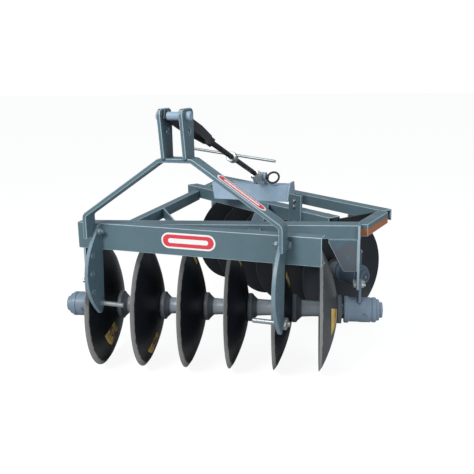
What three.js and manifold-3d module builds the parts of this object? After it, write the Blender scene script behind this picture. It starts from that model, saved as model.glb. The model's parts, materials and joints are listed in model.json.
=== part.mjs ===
// A tractor-mounted offset disc harrow with twelve 610 mm discs in two gangs of six.
// Millimetres. +X is the machine's right-hand side in this frame, +Y runs backwards, away from
// the tractor, and +Z is up. The discs stand on z = 0.
// Inside the file x = 0 is the middle of the hitch and y = 0 is the toolbar's front face; the
// last lines move the whole harrow so that its origin is the middle of its footprint.

import * as THREE from "three";
import { mergeVertices } from "three/addons/utils/BufferGeometryUtils.js";
import Module from "manifold-3d";

const wasm = await Module();
wasm.setup();

// Driving dimensions -----------------------------------------------------------------------

const seat = 0.3; // gap between two pieces that are welded or bolted face to face
const weldSink = 2; // how far a plate is drawn into the one it is welded to, inside one node
const deg = Math.PI / 180;

const discDiameter = 610;
const discDepth = 85; // how far the hub plate's back lies behind the rim
const discThickness = 6;
const discEdge = 1.5; // thickness left at the sharpened rim
const discCrown = 0.58; // share of the dish that deepens with the square of the way to the rim
const discHubRadius = 72; // flat middle of a disc, clamped between the spools
const discBevelRadius = 283; // where the sharpened band starts
const discBendRadii = [160, 240]; // rings that follow the dish between hub and rim
const discsPerGang = 6;
const discSpacing = 218;

const shaftRadius = 16; // gang shaft where it passes through a disc
const spoolRadius = 42;
const wideFlangeRadius = 70; // flange against the bulging back of a disc
const wideFlangeWidth = 22;
const spoolConeWidth = 26;
const narrowFlangeRadius = 54; // flange against a disc's hollow side
const narrowFlangeWidth = 11;
const journalRadius = 25;
const journalClearance = 0.8;
const housingRadius = 61;
const housingLength = 155;
const housingCollarRadius = 66;
const housingCollarWidth = 22;
const noseSteps = [
  [52, 14],
  [38, 16],
]; // radius and width of each step on a housing's outer end
const housingEndWall = 12; // metal left outside the blind bore
const runningGap = 6; // between a turning gang and its housings, along the shaft
const housingSetoff = 34; // from the end disc's back to the housing beside it
const lugThickness = 12;
const lugHalfWidth = 42;
const lugRise = 150; // top of a housing's lug above the shaft

const frontGangAngle = 13.7; // degrees, right end swung back
const rearGangAngle = -34.7; // degrees, right end swung forward
const frontGangLead = 120; // how far the front gang's left disc reaches ahead of the toolbar
const frontGangLeftX = -559; // that disc's rim centre across the machine
const rearGangRightX = 476;
const rearGangLag = 949; // the rear gang's right disc behind the front gang's left one

const toolbarLeft = -560;
const toolbarRight = 611;
const toolbarDepth = 65;
const toolbarHeight = 125;
const toolbarRise = 124; // top of the toolbar above the frame's underside
const channelWall = 8;

const frameHeadroom = 40; // clear height between the discs and the frame's underside
const beamHeight = 60;
const beamWall = 8;
const sideWidth = 62;
const leftSideWidth = 45;
const leftSideHeight = 60;
const leftSideDrop = 21; // top of the left side member below the beams' tops
const frontBeamRise = 85;
const frontBeamHeight = 66;
const frontBeamHalfWidth = 45;
const frontBeamOverhang = [70, 188]; // past the left and right discs, along the gang
const rearBeamFront = -58; // faces of the rear gang's beam, across its shaft
const rearBeamBack = 12;
const rearBeamOverhang = [135, 350];
const crossFront = -392; // faces of the cross beam, across the rear gang's shaft
const crossBack = -317;
const crossHeight = 71;
const crossWall = 7;
const crossPocket = 130; // depth of the open hollow at each end of the cross beam
const crossOverhang = [-15, 300];
const sparOverrun = 420; // how far a member is drawn past a face before it is trimmed to it
const sparMargin = 90; // how far the trimming outline reaches beside a member

const leftSideLine = [
  [-472, 65],
  [-546, 1640],
]; // middle of the left side member, front and back
const rightSideLine = [
  [674, 500],
  [733, 880],
];
const centreLine = [
  [191, 400],
  [84, 840],
];
const cornerBraceLine = [
  [-179, 324],
  [-530, 822],
]; // flat bar between the front gang's beam and the left side member
const cornerBraceEnd = 775; // setback of its end, sunk in the member
const cornerBraceThickness = 8;

const hangerThickness = 12;
const hangerDrop = 117; // foot of a hanger above the shaft
const hangerFront = -57;
const hangerBack = 38;
const hangerTaper = [14, 60]; // how far the foot's back corner is cut in and up
const hangerSetoff = { front_gang: 56, rear_gang: 89 }; // from the housing's inner end
const hangerEarBack = -45;
const gussetThickness = 10;
const gussetReach = [135, 63]; // under the beam and at the foot
const gussetDrop = 207; // foot of a gusset above the shaft
const gussetHeel = 14;

const clampReach = [-5, 95];
const clampThickness = 12;
const clampFoot = 40; // foot of the clamp plate below the frame's underside
const clampRise = 156;
const strapReach = [279, 291];
const strapRise = [14, 52]; // foot and top of the strap above the frame's underside

const hitchHalfWidth = 434; // inner face of each hitch plate
const hitchThickness = 18;
const hitchInset = 3; // how far the plate's top lies below the toolbar's
const hitchLength = 421;
const hitchWaist = 234; // depth below the toolbar's top of the front edge's foremost point
const hitchReach = 138; // how far that point stands in front of the toolbar
const hitchBow = 24.8; // how far the front edge falls back 100 mm above or below it
const hitchSteps = 12; // straight pieces in the front edge
const hitchTail = 8; // how far the plate runs back under the toolbar
const hitchHeel = [-10, 12]; // setback of the plate's lower back corner, and its depth below the pin
const hitchToe = -32; // setback of the back edge at the foot
const hitchHoleRadius = 14;
const hitchHoles = [
  [-82, 135],
  [-94, 219],
  [-96, 306],
]; // setback and depth below the toolbar's top
const pinDrop = 378; // the link pins' depth below the toolbar's top
const pinSetback = -33;
const pinRadius = 11;
const pinCollarRadius = 17;
const pinCollarWidth = 9;
const pinReach = 118; // free end of a link pin inside its hitch plate
const pinStub = 5; // end of the pin outside its nut
const pinHoleClearance = 0.7;

const legThickness = 18;
const legFront = -93;
const legBack = -13;
const archHalfTop = 78; // half the length of the A-frame's level top bar
const archRise = 322; // top of the A-frame above the toolbar
const legBendRise = 58;
const legFootDrop = 54;
const legBendRadius = 34;

const mastInner = 42; // from the middle to the inner face of each mast upright
const mastThickness = 16;
const mastHeight = 207;
const mastFrontTop = -127;
const mastFrontBottom = -101;
const mastBack = -10;
const mastCorner = 22;
const mastCornerBend = 0.3; // how far along each cut corner its middle lies
const mastHoleRadius = 13;
const mastHole = [-55, 111]; // setback and height above the A-frame
const topPinAt = [-77, 176];
const topPinRadius = 13;
const topPinClearance = 0.7;
const topPinBossRadius = 19;
const topPinBossLength = 20;

const eyeAt = [1051, 128]; // the brace's lower eye: setback, and height above the beams
const eyeRadius = 31;
const eyeHalfWidth = 22;
const eyePinRadius = 10;
const eyePinClearance = 0.7;
const earInner = 26;
const earThickness = 12;
const earHalfWidth = 30;
const shankRadius = 25;
const shankLength = 62;
const shankSink = 0.8; // how much of the eye's radius lies beyond the shank's length
const rodRadius = 14;
const rodClearance = 0.6;
const yokeOuter = 39; // outer face of each yoke cheek at the top pin
const yokeThickness = 9;
const yokeNeck = 20; // the same face where the cheeks meet the nut
const yokeHalfHeight = 20;
const yokeBend = 210;
const yokeReach = 380;
const yokeMargin = 6; // length of cheek past the top pin's bosses
const yokeNutRadius = 26;
const yokeNutLength = 34;
const rodSink = 26; // length of rod held inside the yoke's nut and the eye's shank
const tommyRadius = 7;
const tommyHalfLength = 235;
const tommyReach = 722; // where the tommy bar crosses the rod, from the top pin
const tommyLift = 14; // how far above the rod's middle
const tommyTilt = 7; // degrees, left end up
const tommyCollarRadius = 27;
const tommyCollarLength = 40;
const loopRadius = 34;
const loopWire = 6;
const loopTilt = 35; // degrees the hoop leans back
const loopGap = 8; // between the ear and the middle of the hoop's wire
const eyePinStub = 14; // length of pin outside each ear

const ridgeFoot = 991; // front foot of the folded panel that carries the brace's lower end
const ridgeSlopeRun = 70;
const ridgeTopRun = 70;
const ridgeRise = 85;
const ridgeRearRun = 26;
const ridgeWall = 8;
const ridgeLeft = -306;
const ridgeRight = 176;
const ridgeCut = 42; // how far the left end is cut in at the foot
const cheekThickness = 8;
const cheekLip = 14; // how far an end cheek stands above the panel
const cheekMargin = 6; // how far its foot stands in front of the panel
const cheekLean = 12; // how far its top does

// Heights and lengths worked out from the sizes above -------------------------------------------

const rimRadius = discDiameter / 2;
const gangSpan = (discsPerGang - 1) * discSpacing;
const frameLevel = discDiameter + frameHeadroom;
const toolbarTop = frameLevel + toolbarRise;
const toolbarBottom = toolbarTop - toolbarHeight;
const frontBeamTop = frameLevel + frontBeamRise;
const beamTop = frameLevel + crossHeight;
const archTop = toolbarTop + archRise;
const mastTop = archTop + mastHeight;
const topPin = [topPinAt[0], archTop + topPinAt[1]];
const eye = [eyeAt[0], beamTop + eyeAt[1]];
const pinHeight = toolbarTop - pinDrop;
const ridgeTop = beamTop + ridgeRise;
const hangerFoot = rimRadius + hangerDrop;
const gussetFoot = rimRadius + gussetDrop;
const frontGangLeft = [frontGangLeftX, rimRadius - frontGangLead];
const frontGangRight = [
  frontGangLeft[0] + gangSpan * Math.cos(frontGangAngle * deg),
  frontGangLeft[1] + gangSpan * Math.sin(frontGangAngle * deg),
];
const rearGangRight = [rearGangRightX, frontGangLeft[1] + rearGangLag];
const alongGang = ([left, right]) => [-gangSpan - left, right];

// Materials ---------------------------------------------------------------------------------

const paint = { color: 0x5f7480, roughness: 0.4, metalness: 0.1 };
const paintPale = { color: 0x8ba5b5, roughness: 0.4, metalness: 0.1 };
const discSteel = { color: 0x1c242c, roughness: 0.45, metalness: 0.6 };
const spoolPaint = { color: 0x6f8089, roughness: 0.45, metalness: 0.2 };
const housingPaint = { color: 0x5d6b78, roughness: 0.4, metalness: 0.2 };
const blackSteel = { color: 0x1b1c1e, roughness: 0.5, metalness: 0.5 };
const zinc = { color: 0xa9b0b2, roughness: 0.35, metalness: 0.8 };

// Shape helpers -----------------------------------------------------------------------------

// A closed geometry as a manifold solid.
function solid(geometry) {
  const bare = geometry.clone();
  bare.deleteAttribute("normal");
  bare.deleteAttribute("uv");
  const merged = mergeVertices(bare, 1e-3);
  const made = {
    numProp: 3,
    vertProperties: new Float32Array(merged.attributes.position.array),
    triVerts: new Uint32Array(merged.index.array),
  };
  return new wasm.Manifold(new wasm.Mesh(made));
}

// A manifold solid as a geometry.
function shell(body) {
  const mesh = body.getMesh();
  const geometry = new THREE.BufferGeometry();
  geometry.setAttribute("position", new THREE.BufferAttribute(mesh.vertProperties, 3));
  geometry.setIndex(new THREE.BufferAttribute(mesh.triVerts, 1));
  geometry.computeVertexNormals();
  return geometry;
}

const join = (first, ...rest) => shell(rest.reduce((sum, g) => sum.add(solid(g)), solid(first)));

const cut = (body, ...tools) => shell(tools.reduce((left, g) => left.subtract(solid(g)), solid(body)));

const trim = (body, keep) => shell(solid(body).intersect(solid(keep)));

// A box between two corners.
function block([x0, y0, z0], [x1, y1, z1]) {
  const box = new THREE.BoxGeometry(x1 - x0, y1 - y0, z1 - z0);
  return box.translate((x0 + x1) / 2, (y0 + y1) / 2, (z0 + z1) / 2);
}

// An outline in the YZ plane given a thickness from x0 to x1.
function plateX(outline, x0, x1) {
  const geometry = extrude(outline, x1 - x0);
  const turn = new THREE.Matrix4().set(0, 0, 1, x0, 1, 0, 0, 0, 0, 1, 0, 0, 0, 0, 0, 1);
  return geometry.applyMatrix4(turn);
}

// An outline in the XZ plane given a thickness from y0 to y1.
function plateY(outline, y0, y1) {
  const geometry = extrude(outline, y1 - y0);
  return geometry.rotateX(Math.PI / 2).translate(0, y1, 0);
}

// An outline in the XY plane given a thickness from z0 to z1.
function plateZ(outline, z0, z1) {
  return extrude(outline, z1 - z0).translate(0, 0, z0);
}

function extrude(outline, depth) {
  const shape = outline instanceof THREE.Shape ? outline : polygon(outline);
  return new THREE.ExtrudeGeometry(shape, { depth, bevelEnabled: false, curveSegments: 8 });
}

const polygon = (points) => new THREE.Shape(points.map(([a, b]) => new THREE.Vector2(a, b)));

// A round bar along X from x0 to x1.
function barX(radius, x0, x1, y, z, sides = 20) {
  const bar = new THREE.CylinderGeometry(radius, radius, x1 - x0, sides);
  return bar.rotateZ(Math.PI / 2).translate((x0 + x1) / 2, y, z);
}

// A profile of [x, radius] pairs that starts and ends on the axis, turned about X. It is taken
// in whichever order makes its faces point outwards.
function turnedX(profile, sides) {
  let area = 0;
  profile.forEach(([x, r], i) => {
    const [nextX, nextR] = profile[(i + 1) % profile.length];
    area += r * nextX - nextR * x;
  });
  const ordered = area < 0 ? [...profile].reverse() : profile;
  const points = ordered.map(([x, r]) => new THREE.Vector2(r, x));
  return new THREE.LatheGeometry(points, sides).rotateZ(-Math.PI / 2);
}

// The same for a ring: the profile runs round its section and closes on its first point.
const ringX = (profile, sides) => turnedX([...profile, profile[0]], sides);

// A channel seen from its end, open towards +Y, as an outline in the YZ plane.
function channelBack(front, back, low, high, wall) {
  return [
    [front, low],
    [back, low],
    [back, low + wall],
    [front + wall, low + wall],
    [front + wall, high - wall],
    [back, high - wall],
    [back, high],
    [front, high],
  ];
}

// A channel seen from its end, open downwards.
function channelDown(front, back, low, high, wall) {
  return [
    [front, low],
    [front + wall, low],
    [front + wall, high - wall],
    [back - wall, high - wall],
    [back - wall, low],
    [back, low],
    [back, high],
    [front, high],
  ];
}

const harrow = new THREE.Group();

function place(parent, name, geometry, finish) {
  const mesh = new THREE.Mesh(geometry, new THREE.MeshStandardMaterial(finish));
  mesh.name = name;
  parent.add(mesh);
  return mesh;
}

// Gangs -------------------------------------------------------------------------------------

// A gang's own frame: its origin is the right-hand disc's rim centre and +X runs along the shaft.
function gangFrame([x, y], angle, height) {
  const group = new THREE.Group();
  group.position.set(x, y, height);
  group.rotation.z = angle * deg;
  harrow.add(group);
  return group;
}

// A dished disc turned about X, its hollow towards -X when side is 1.
function discGeometry(side) {
  const span = rimRadius - discHubRadius;
  const dish = (r) => {
    const share = Math.max(0, (r - discHubRadius) / span);
    return side * (discDepth - discThickness) * (1 - share * (1 - discCrown + discCrown * share));
  };
  const bore = shaftRadius + seat;
  const hollow = [bore, discHubRadius, ...discBendRadii, rimRadius].map((r) => [dish(r), r]);
  const backRadii = [discBevelRadius, ...[...discBendRadii].reverse(), discHubRadius, bore];
  const back = backRadii.map((r) => [dish(r) + side * discThickness, r]);
  const rim = [dish(rimRadius) + side * discEdge, rimRadius];
  return ringX([...hollow, rim, ...back], 28);
}

// Flange of a spool against a disc face at x, running off in direction out.
function flangeProfile(x, out, wide) {
  if (!wide) {
    const end = x + out * narrowFlangeWidth;
    return [
      [x, narrowFlangeRadius],
      [end, narrowFlangeRadius],
      [end, spoolRadius],
    ];
  }
  const ring = x + out * wideFlangeWidth;
  return [
    [x, wideFlangeRadius],
    [ring, wideFlangeRadius],
    [ring + out * spoolConeWidth, spoolRadius],
  ];
}

// The shaft with its spools. Left and right are the inner ends of the two housings.
function shaftGeometry(side, left, right) {
  const profile = [];
  for (let i = discsPerGang - 1; i >= 0; i--) {
    const back = -i * discSpacing + side * discDepth;
    const hollow = back - side * discThickness;
    const low = Math.min(back, hollow) - seat;
    const high = Math.max(back, hollow) + seat;
    profile.push(...flangeProfile(low, -1, side < 0).reverse());
    profile.push([low, shaftRadius], [high, shaftRadius]);
    profile.push(...flangeProfile(high, 1, side > 0));
  }
  const journal = housingLength - housingEndWall - runningGap;
  const outermost = side > 0 ? profile.pop() : profile.shift();
  const shoulder = side > 0 ? profile[profile.length - 1][0] : profile[0][0];
  const leftStep = side > 0 ? left + runningGap : shoulder;
  const rightStep = side > 0 ? shoulder : right - runningGap;
  if (side > 0) profile.unshift([leftStep, outermost[1]]);
  else profile.push([rightStep, outermost[1]]);
  profile.unshift([left - journal, 0], [left - journal, journalRadius], [leftStep, journalRadius]);
  profile.push([rightStep, journalRadius], [right + journal, journalRadius], [right + journal, 0]);
  return turnedX(profile, 18);
}

// A bearing housing whose open end is at x = start and whose nose points to direction out.
function housingGeometry(start, out, lugStart) {
  const at = (d) => start + out * d;
  const bore = journalRadius + journalClearance;
  const blind = housingLength - housingEndWall;
  const profile = [
    [at(blind), 0],
    [at(blind), bore],
    [at(0), bore],
    [at(0), housingCollarRadius],
    [at(housingCollarWidth), housingCollarRadius],
    [at(housingCollarWidth), housingRadius],
    [at(housingLength), housingRadius],
  ];
  let reach = housingLength;
  for (const [radius, width] of noseSteps) {
    profile.push([at(reach), radius], [at(reach + width), radius]);
    reach += width;
  }
  profile.push([at(reach), 0]);
  const lugEnds = [at(lugStart), at(lugStart + lugThickness)].sort((a, b) => a - b);
  const lug = block(
    [lugEnds[0], -lugHalfWidth, (journalRadius + housingRadius) / 2],
    [lugEnds[1], lugHalfWidth, lugRise],
  );
  return join(turnedX(profile, 24), lug);
}

const frames = {}; // each gang's frame at ground level, for the beams that follow its shaft

// One gang: its discs and shaft, the housings that carry it and the hangers above them.
function buildGang(name, rimAt, angle, side, beamBottom, hasEar) {
  const turning = gangFrame(rimAt, angle, rimRadius);
  const ground = gangFrame(rimAt, angle, 0);
  frames[name] = ground;
  for (let i = 0; i < discsPerGang; i++) {
    const disc = place(turning, name + "_disc_" + (discsPerGang - i), discGeometry(side), discSteel);
    disc.position.x = -i * discSpacing;
  }
  const right = side > 0 ? discDepth + housingSetoff : 0;
  const left = side > 0 ? -gangSpan : -gangSpan - discDepth - housingSetoff;
  place(turning, name + "_shaft", shaftGeometry(side, left, right), spoolPaint);
  const hangerStart = hangerSetoff[name];
  const lugStart = hangerStart + hangerThickness + seat;
  for (const [sideName, start, out] of [
    ["right", right, 1],
    ["left", left, -1],
  ]) {
    const housing = housingGeometry(start, out, lugStart);
    place(turning, name + "_housing_" + sideName, housing, housingPaint);
    const near = start + out * hangerStart;
    const far = near + out * hangerThickness;
    const plate = hangerPlate(Math.min(near, far), beamBottom, hasEar);
    const besideBack = out * side > 0;
    const hanger = besideBack ? join(plate, gussetPlate(near, -out, beamBottom)) : plate;
    place(ground, name + "_hanger_" + sideName, hanger, paintPale);
  }
}

// A hanger plate square to the shaft, from the beam's underside down beside the housing's lug.
function hangerPlate(x, beamBottom, hasEar) {
  const top = beamBottom - seat;
  const outline = [
    [hangerFront, hangerFoot],
    [hangerBack - hangerTaper[0], hangerFoot],
    [hangerBack, hangerFoot + hangerTaper[1]],
    [hangerBack, top],
  ];
  if (hasEar) outline.push([hangerEarBack - seat, top], [hangerEarBack - seat, frontBeamTop]);
  outline.push([hangerFront, hasEar ? frontBeamTop : top]);
  return plateX(outline, x, x + hangerThickness);
}

// A gusset in the plane of the beam, from its underside to a hanger's side, beside a disc's back.
function gussetPlate(x, out, beamBottom) {
  const [reach, notch] = gussetReach;
  const top = beamBottom - seat;
  const root = x - out * weldSink;
  const outline = [
    [root, top],
    [x + out * reach, top],
    [x + out * reach, top - gussetHeel],
    [x + out * notch, gussetFoot],
    [root, gussetFoot],
  ];
  return plateY(outline, hangerFront + 6, hangerFront + 6 + gussetThickness);
}

const frontBeamBottom = frontBeamTop - frontBeamHeight;
const rearBeamBottom = beamTop - beamHeight;
buildGang("front_gang", frontGangRight, frontGangAngle, 1, frontBeamBottom, true);
buildGang("rear_gang", rearGangRight, rearGangAngle, -1, rearBeamBottom, false);

// Toolbar and beams -------------------------------------------------------------------------

const toolbarSection = channelBack(0, toolbarDepth, toolbarBottom, toolbarTop, channelWall);
place(harrow, "toolbar", plateX(toolbarSection, toolbarLeft, toolbarRight), paint);

const frontBeamSection = channelDown(
  -frontBeamHalfWidth,
  frontBeamHalfWidth,
  frontBeamBottom,
  frontBeamTop,
  beamWall,
);
place(frames.front_gang, "front_gang_beam", plateX(frontBeamSection, ...alongGang(frontBeamOverhang)), paint);

const rearBeamSection = channelDown(rearBeamFront, rearBeamBack, rearBeamBottom, beamTop, beamWall);
place(frames.rear_gang, "rear_gang_beam", plateX(rearBeamSection, ...alongGang(rearBeamOverhang)), paint);

// A square tube with an open pocket at each end.
function crossBeamGeometry() {
  const [left, right] = alongGang(crossOverhang);
  const low = beamTop - crossHeight;
  const bar = block([left, crossFront, low], [right, crossBack, beamTop]);
  const hollowLow = [crossFront + crossWall, low + crossWall];
  const hollowHigh = [crossBack - crossWall, beamTop - crossWall];
  const pocketAt = (x0, x1) => block([x0, ...hollowLow], [x1, ...hollowHigh]);
  const leftPocket = pocketAt(left - crossPocket, left + crossPocket);
  const rightPocket = pocketAt(right - crossPocket, right + crossPocket);
  return cut(bar, leftPocket, rightPocket);
}
place(frames.rear_gang, "cross_beam", crossBeamGeometry(), paint);

// A vertical face that follows a gang at a set distance across its shaft, as y for a given x.
function faceOf([x0, y0], angle, off) {
  const c = Math.cos(angle * deg);
  const s = Math.sin(angle * deg);
  return (x) => y0 + off * c + ((x - x0 + off * s) / c) * s;
}
const frontFace = (off) => faceOf(frontGangRight, frontGangAngle, off);
const rearFace = (off) => faceOf(rearGangRight, rearGangAngle, off);

// A bar along a line in plan, trimmed at both ends by the faces it is welded to.
function sparGeometry([[x0, y0], [x1, y1]], width, low, high, front, back) {
  const length = Math.hypot(x1 - x0, y1 - y0);
  const turn = -Math.atan2(x1 - x0, y1 - y0);
  const bar = block([-width / 2, -sparOverrun, low], [width / 2, length + sparOverrun, high]);
  bar.rotateZ(turn).translate(x0, y0, 0);
  const left = Math.min(x0, x1) - sparMargin;
  const right = Math.max(x0, x1) + sparMargin;
  const keep = plateZ(
    [
      [left, front(left) + seat],
      [right, front(right) + seat],
      [right, back(right) - seat],
      [left, back(left) - seat],
    ],
    low - 1,
    high + 1,
  );
  return trim(bar, keep);
}

const spar = (name, line, front, back, finish) =>
  place(harrow, name, sparGeometry(line, sideWidth, beamTop - beamHeight, beamTop, front, back), finish);

const leftSideTop = beamTop - leftSideDrop;
const leftSideBottom = leftSideTop - leftSideHeight;
const leftSpar = (front, back) =>
  sparGeometry(leftSideLine, leftSideWidth, leftSideBottom, leftSideTop, front, back);

const toolbarBack = () => toolbarDepth;
const frontBeamFace = frontFace(-frontBeamHalfWidth);
const frontBeamRear = frontFace(frontBeamHalfWidth);
const crossFace = rearFace(crossFront);
const rearBeamFace = rearFace(rearBeamFront);
place(harrow, "left_side_front", leftSpar(toolbarBack, frontBeamFace), paint);
place(harrow, "left_side_rear", leftSpar(rearFace(crossBack), rearBeamFace), paint);
spar("centre_front", centreLine, toolbarBack, frontBeamFace, paint);
spar("centre_member", centreLine, frontBeamRear, crossFace, paint);
spar("right_side_member", rightSideLine, frontBeamRear, rearBeamFace, paintPale);

// The flat bar set diagonally between the front gang's beam and the left side member.
function cornerBraceGeometry() {
  const end = () => cornerBraceEnd;
  return sparGeometry(
    cornerBraceLine,
    cornerBraceThickness,
    leftSideBottom,
    leftSideTop,
    frontBeamRear,
    end,
  );
}
const leftMiddle = leftSpar(frontBeamRear, crossFace);
place(harrow, "left_side_middle", join(leftMiddle, cornerBraceGeometry()), paint);

const clampBlock = block(
  [clampReach[0], crossFront - clampThickness - seat, frameLevel - clampFoot],
  [clampReach[1], crossFront - seat, frameLevel + clampRise],
);
place(frames.rear_gang, "clamp_plate", clampBlock, paint);

const strapBlock = block(
  [strapReach[0], crossBack + seat, frameLevel + strapRise[0]],
  [strapReach[1], rearBeamFront - seat, frameLevel + strapRise[1]],
);
place(frames.rear_gang, "rear_strap", strapBlock, blackSteel);

// Hitch -------------------------------------------------------------------------------------

// A hitch plate's outline: a bowed front edge and a nearly straight back edge.
function hitchOutline() {
  const top = toolbarTop - hitchInset;
  const bottom = top - hitchLength;
  const front = [];
  for (let i = 0; i <= hitchSteps; i++) {
    const z = top - (hitchLength * i) / hitchSteps;
    const rise = (z - toolbarTop + hitchWaist) / 100;
    front.push([hitchBow * rise ** 2 - hitchReach, z]);
  }
  const under = toolbarBottom - seat;
  const back = [
    [hitchToe, bottom],
    [hitchHeel[0], pinHeight - hitchHeel[1]],
    [hitchTail, under],
    [-seat, under],
    [-seat, top],
  ];
  return [...front, ...back];
}

const hitchHole = (radius, [y, z], x) => barX(radius, x - 10, x + hitchThickness + 10, y, z, 16);

for (const [name, x] of [
  ["left", -hitchHalfWidth - hitchThickness],
  ["right", hitchHalfWidth],
]) {
  const plate = plateX(hitchOutline(), x, x + hitchThickness);
  const holes = hitchHoles.map(([y, drop]) => hitchHole(hitchHoleRadius, [y, toolbarTop - drop], x));
  holes.push(hitchHole(pinRadius + pinHoleClearance, [pinSetback, pinHeight], x));
  place(harrow, "hitch_plate_" + name, cut(plate, ...holes), paint);
}

// A lower link pin with its inner collar and outer nut, pointing inwards from a hitch plate.
function lowerPinGeometry(out) {
  const inner = hitchHalfWidth - seat;
  const outer = hitchHalfWidth + hitchThickness + seat;
  const profile = [
    [hitchHalfWidth - pinReach, 0],
    [hitchHalfWidth - pinReach, pinRadius],
    [inner - pinCollarWidth, pinRadius],
    [inner - pinCollarWidth, pinCollarRadius],
    [inner, pinCollarRadius],
    [inner, pinRadius],
    [outer, pinRadius],
    [outer, pinCollarRadius],
    [outer + pinCollarWidth, pinCollarRadius],
    [outer + pinCollarWidth, pinRadius],
    [outer + pinCollarWidth + pinStub, pinRadius],
    [outer + pinCollarWidth + pinStub, 0],
  ].map(([x, r]) => [out * x, r]);
  return turnedX(profile, 16).translate(0, pinSetback, pinHeight);
}
place(harrow, "lower_link_pin_left", lowerPinGeometry(-1), zinc);
place(harrow, "lower_link_pin_right", lowerPinGeometry(1), zinc);

// A path with its inner corners replaced by arcs.
function rounded(points, radius, steps) {
  const path = [points[0]];
  for (let i = 1; i < points.length - 1; i++) {
    const corner = new THREE.Vector2(...points[i]);
    const before = new THREE.Vector2(...points[i - 1]).sub(corner).normalize();
    const after = new THREE.Vector2(...points[i + 1]).sub(corner).normalize();
    const half = before.angleTo(after) / 2;
    const reach = radius / Math.tan(half);
    for (let k = 0; k <= steps; k++) {
      const t = k / steps;
      const a = corner.clone().addScaledVector(before, reach * (1 - t) ** 2);
      path.push(a.addScaledVector(after, reach * t ** 2).toArray());
    }
  }
  path.push(points[points.length - 1]);
  return path;
}

// The outline of a bent flat bar whose left-hand edge follows the path.
function ribbon(path, thickness) {
  const inner = path.map((point, i) => {
    const here = new THREE.Vector2(...point);
    const before = new THREE.Vector2(...path[Math.max(0, i - 1)]);
    const after = new THREE.Vector2(...path[Math.min(path.length - 1, i + 1)]);
    const first = (i ? here.clone().sub(before) : after.clone().sub(here)).normalize();
    const last = (i < path.length - 1 ? after.clone().sub(here) : first.clone()).normalize();
    const normal = new THREE.Vector2(first.y + last.y, -first.x - last.x).normalize();
    const stretch = thickness / (normal.x * first.y - normal.y * first.x);
    return here.addScaledVector(normal, stretch).toArray();
  });
  return [...path, ...inner.reverse()];
}

const legOuter = hitchHalfWidth + hitchThickness + seat + legThickness;
const archPath = rounded(
  [
    [-legOuter, toolbarTop - legFootDrop],
    [-legOuter, toolbarTop + legBendRise],
    [-archHalfTop, archTop],
    [archHalfTop, archTop],
    [legOuter, toolbarTop + legBendRise],
    [legOuter, toolbarTop - legFootDrop],
  ],
  legBendRadius,
  4,
);
place(harrow, "a_frame", plateY(ribbon(archPath, legThickness), legFront, legBack), paint);

function mastOutline() {
  const bottom = archTop + seat;
  return [
    [mastFrontBottom, bottom],
    [mastBack, bottom],
    [mastBack, mastTop - mastCorner],
    [mastBack - mastCorner * mastCornerBend, mastTop - mastCorner * mastCornerBend],
    [mastBack - mastCorner, mastTop],
    [mastFrontTop + mastCorner, mastTop],
    [mastFrontTop + mastCorner * mastCornerBend, mastTop - mastCorner * mastCornerBend],
    [mastFrontTop, mastTop - mastCorner],
  ];
}

for (const [name, x] of [
  ["left", -mastInner - mastThickness],
  ["right", mastInner],
]) {
  const plate = plateX(mastOutline(), x, x + mastThickness);
  const through = (radius, [y, z]) => barX(radius, x - 10, x + mastThickness + 10, y, z, 16);
  const pinHole = through(topPinRadius + topPinClearance, topPin);
  const spareHole = through(mastHoleRadius, [mastHole[0], archTop + mastHole[1]]);
  place(harrow, "mast_upright_" + name, cut(plate, pinHole, spareHole), paint);
}

// The top pin, with a boss outside each upright.
function topPinGeometry() {
  const outer = mastInner + mastThickness + seat;
  const profile = [
    [outer, topPinRadius],
    [outer, topPinBossRadius],
    [outer + topPinBossLength, topPinBossRadius],
    [outer + topPinBossLength, 0],
  ];
  const mirrored = [...profile].reverse().map(([x, r]) => [-x, r]);
  return turnedX([...mirrored, ...profile], 16).translate(0, ...topPin);
}
place(harrow, "top_pin", topPinGeometry(), blackSteel);

// Brace -------------------------------------------------------------------------------------

// The brace's own frame: its origin is the top pin and +Y runs down the brace to its lower eye.
const braceRun = eye[0] - topPin[0];
const braceDrop = topPin[1] - eye[1];
const braceLength = Math.hypot(braceRun, braceDrop);
const brace = new THREE.Group();
brace.position.set(0, ...topPin);
brace.rotation.x = -Math.atan2(braceDrop, braceRun);
harrow.add(brace);

// A round bar along Y from y0 to y1.
function barY(radius, y0, y1, sides = 16) {
  return new THREE.CylinderGeometry(radius, radius, y1 - y0, sides).translate(0, (y0 + y1) / 2, 0);
}

function yokeGeometry() {
  const tail = -topPinBossRadius - yokeMargin;
  const path = [
    [-yokeOuter, tail],
    [-yokeOuter, yokeBend],
    [-yokeNeck, yokeReach],
    [yokeNeck, yokeReach],
    [yokeOuter, yokeBend],
    [yokeOuter, tail],
  ];
  const cheeks = plateZ(ribbon(path, yokeThickness), -yokeHalfHeight, yokeHalfHeight);
  const nut = barY(yokeNutRadius, yokeReach - yokeThickness / 2, yokeReach + yokeNutLength, 6);
  const pinHole = barX(topPinRadius + topPinClearance, -mastInner, mastInner, 0, 0, 16);
  const rodEnd = yokeReach + yokeNutLength - rodSink;
  const rodHole = barY(rodRadius + rodClearance, rodEnd, yokeReach + 2 * yokeNutLength);
  return cut(join(cheeks, nut), pinHole, rodHole);
}
place(brace, "brace_yoke", yokeGeometry(), blackSteel);

const shankStart = braceLength - eyeRadius * shankSink - shankLength;

function rodGeometry() {
  const start = yokeReach + yokeNutLength - rodSink + seat;
  const rod = barY(rodRadius, start, shankStart + rodSink - seat);
  const half = tommyCollarLength / 2;
  const collar = barY(tommyCollarRadius, tommyReach - half, tommyReach + half, 20);
  return cut(join(rod, collar), tommyBar(tommyRadius + rodClearance, tommyCollarRadius * 2));
}

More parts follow.
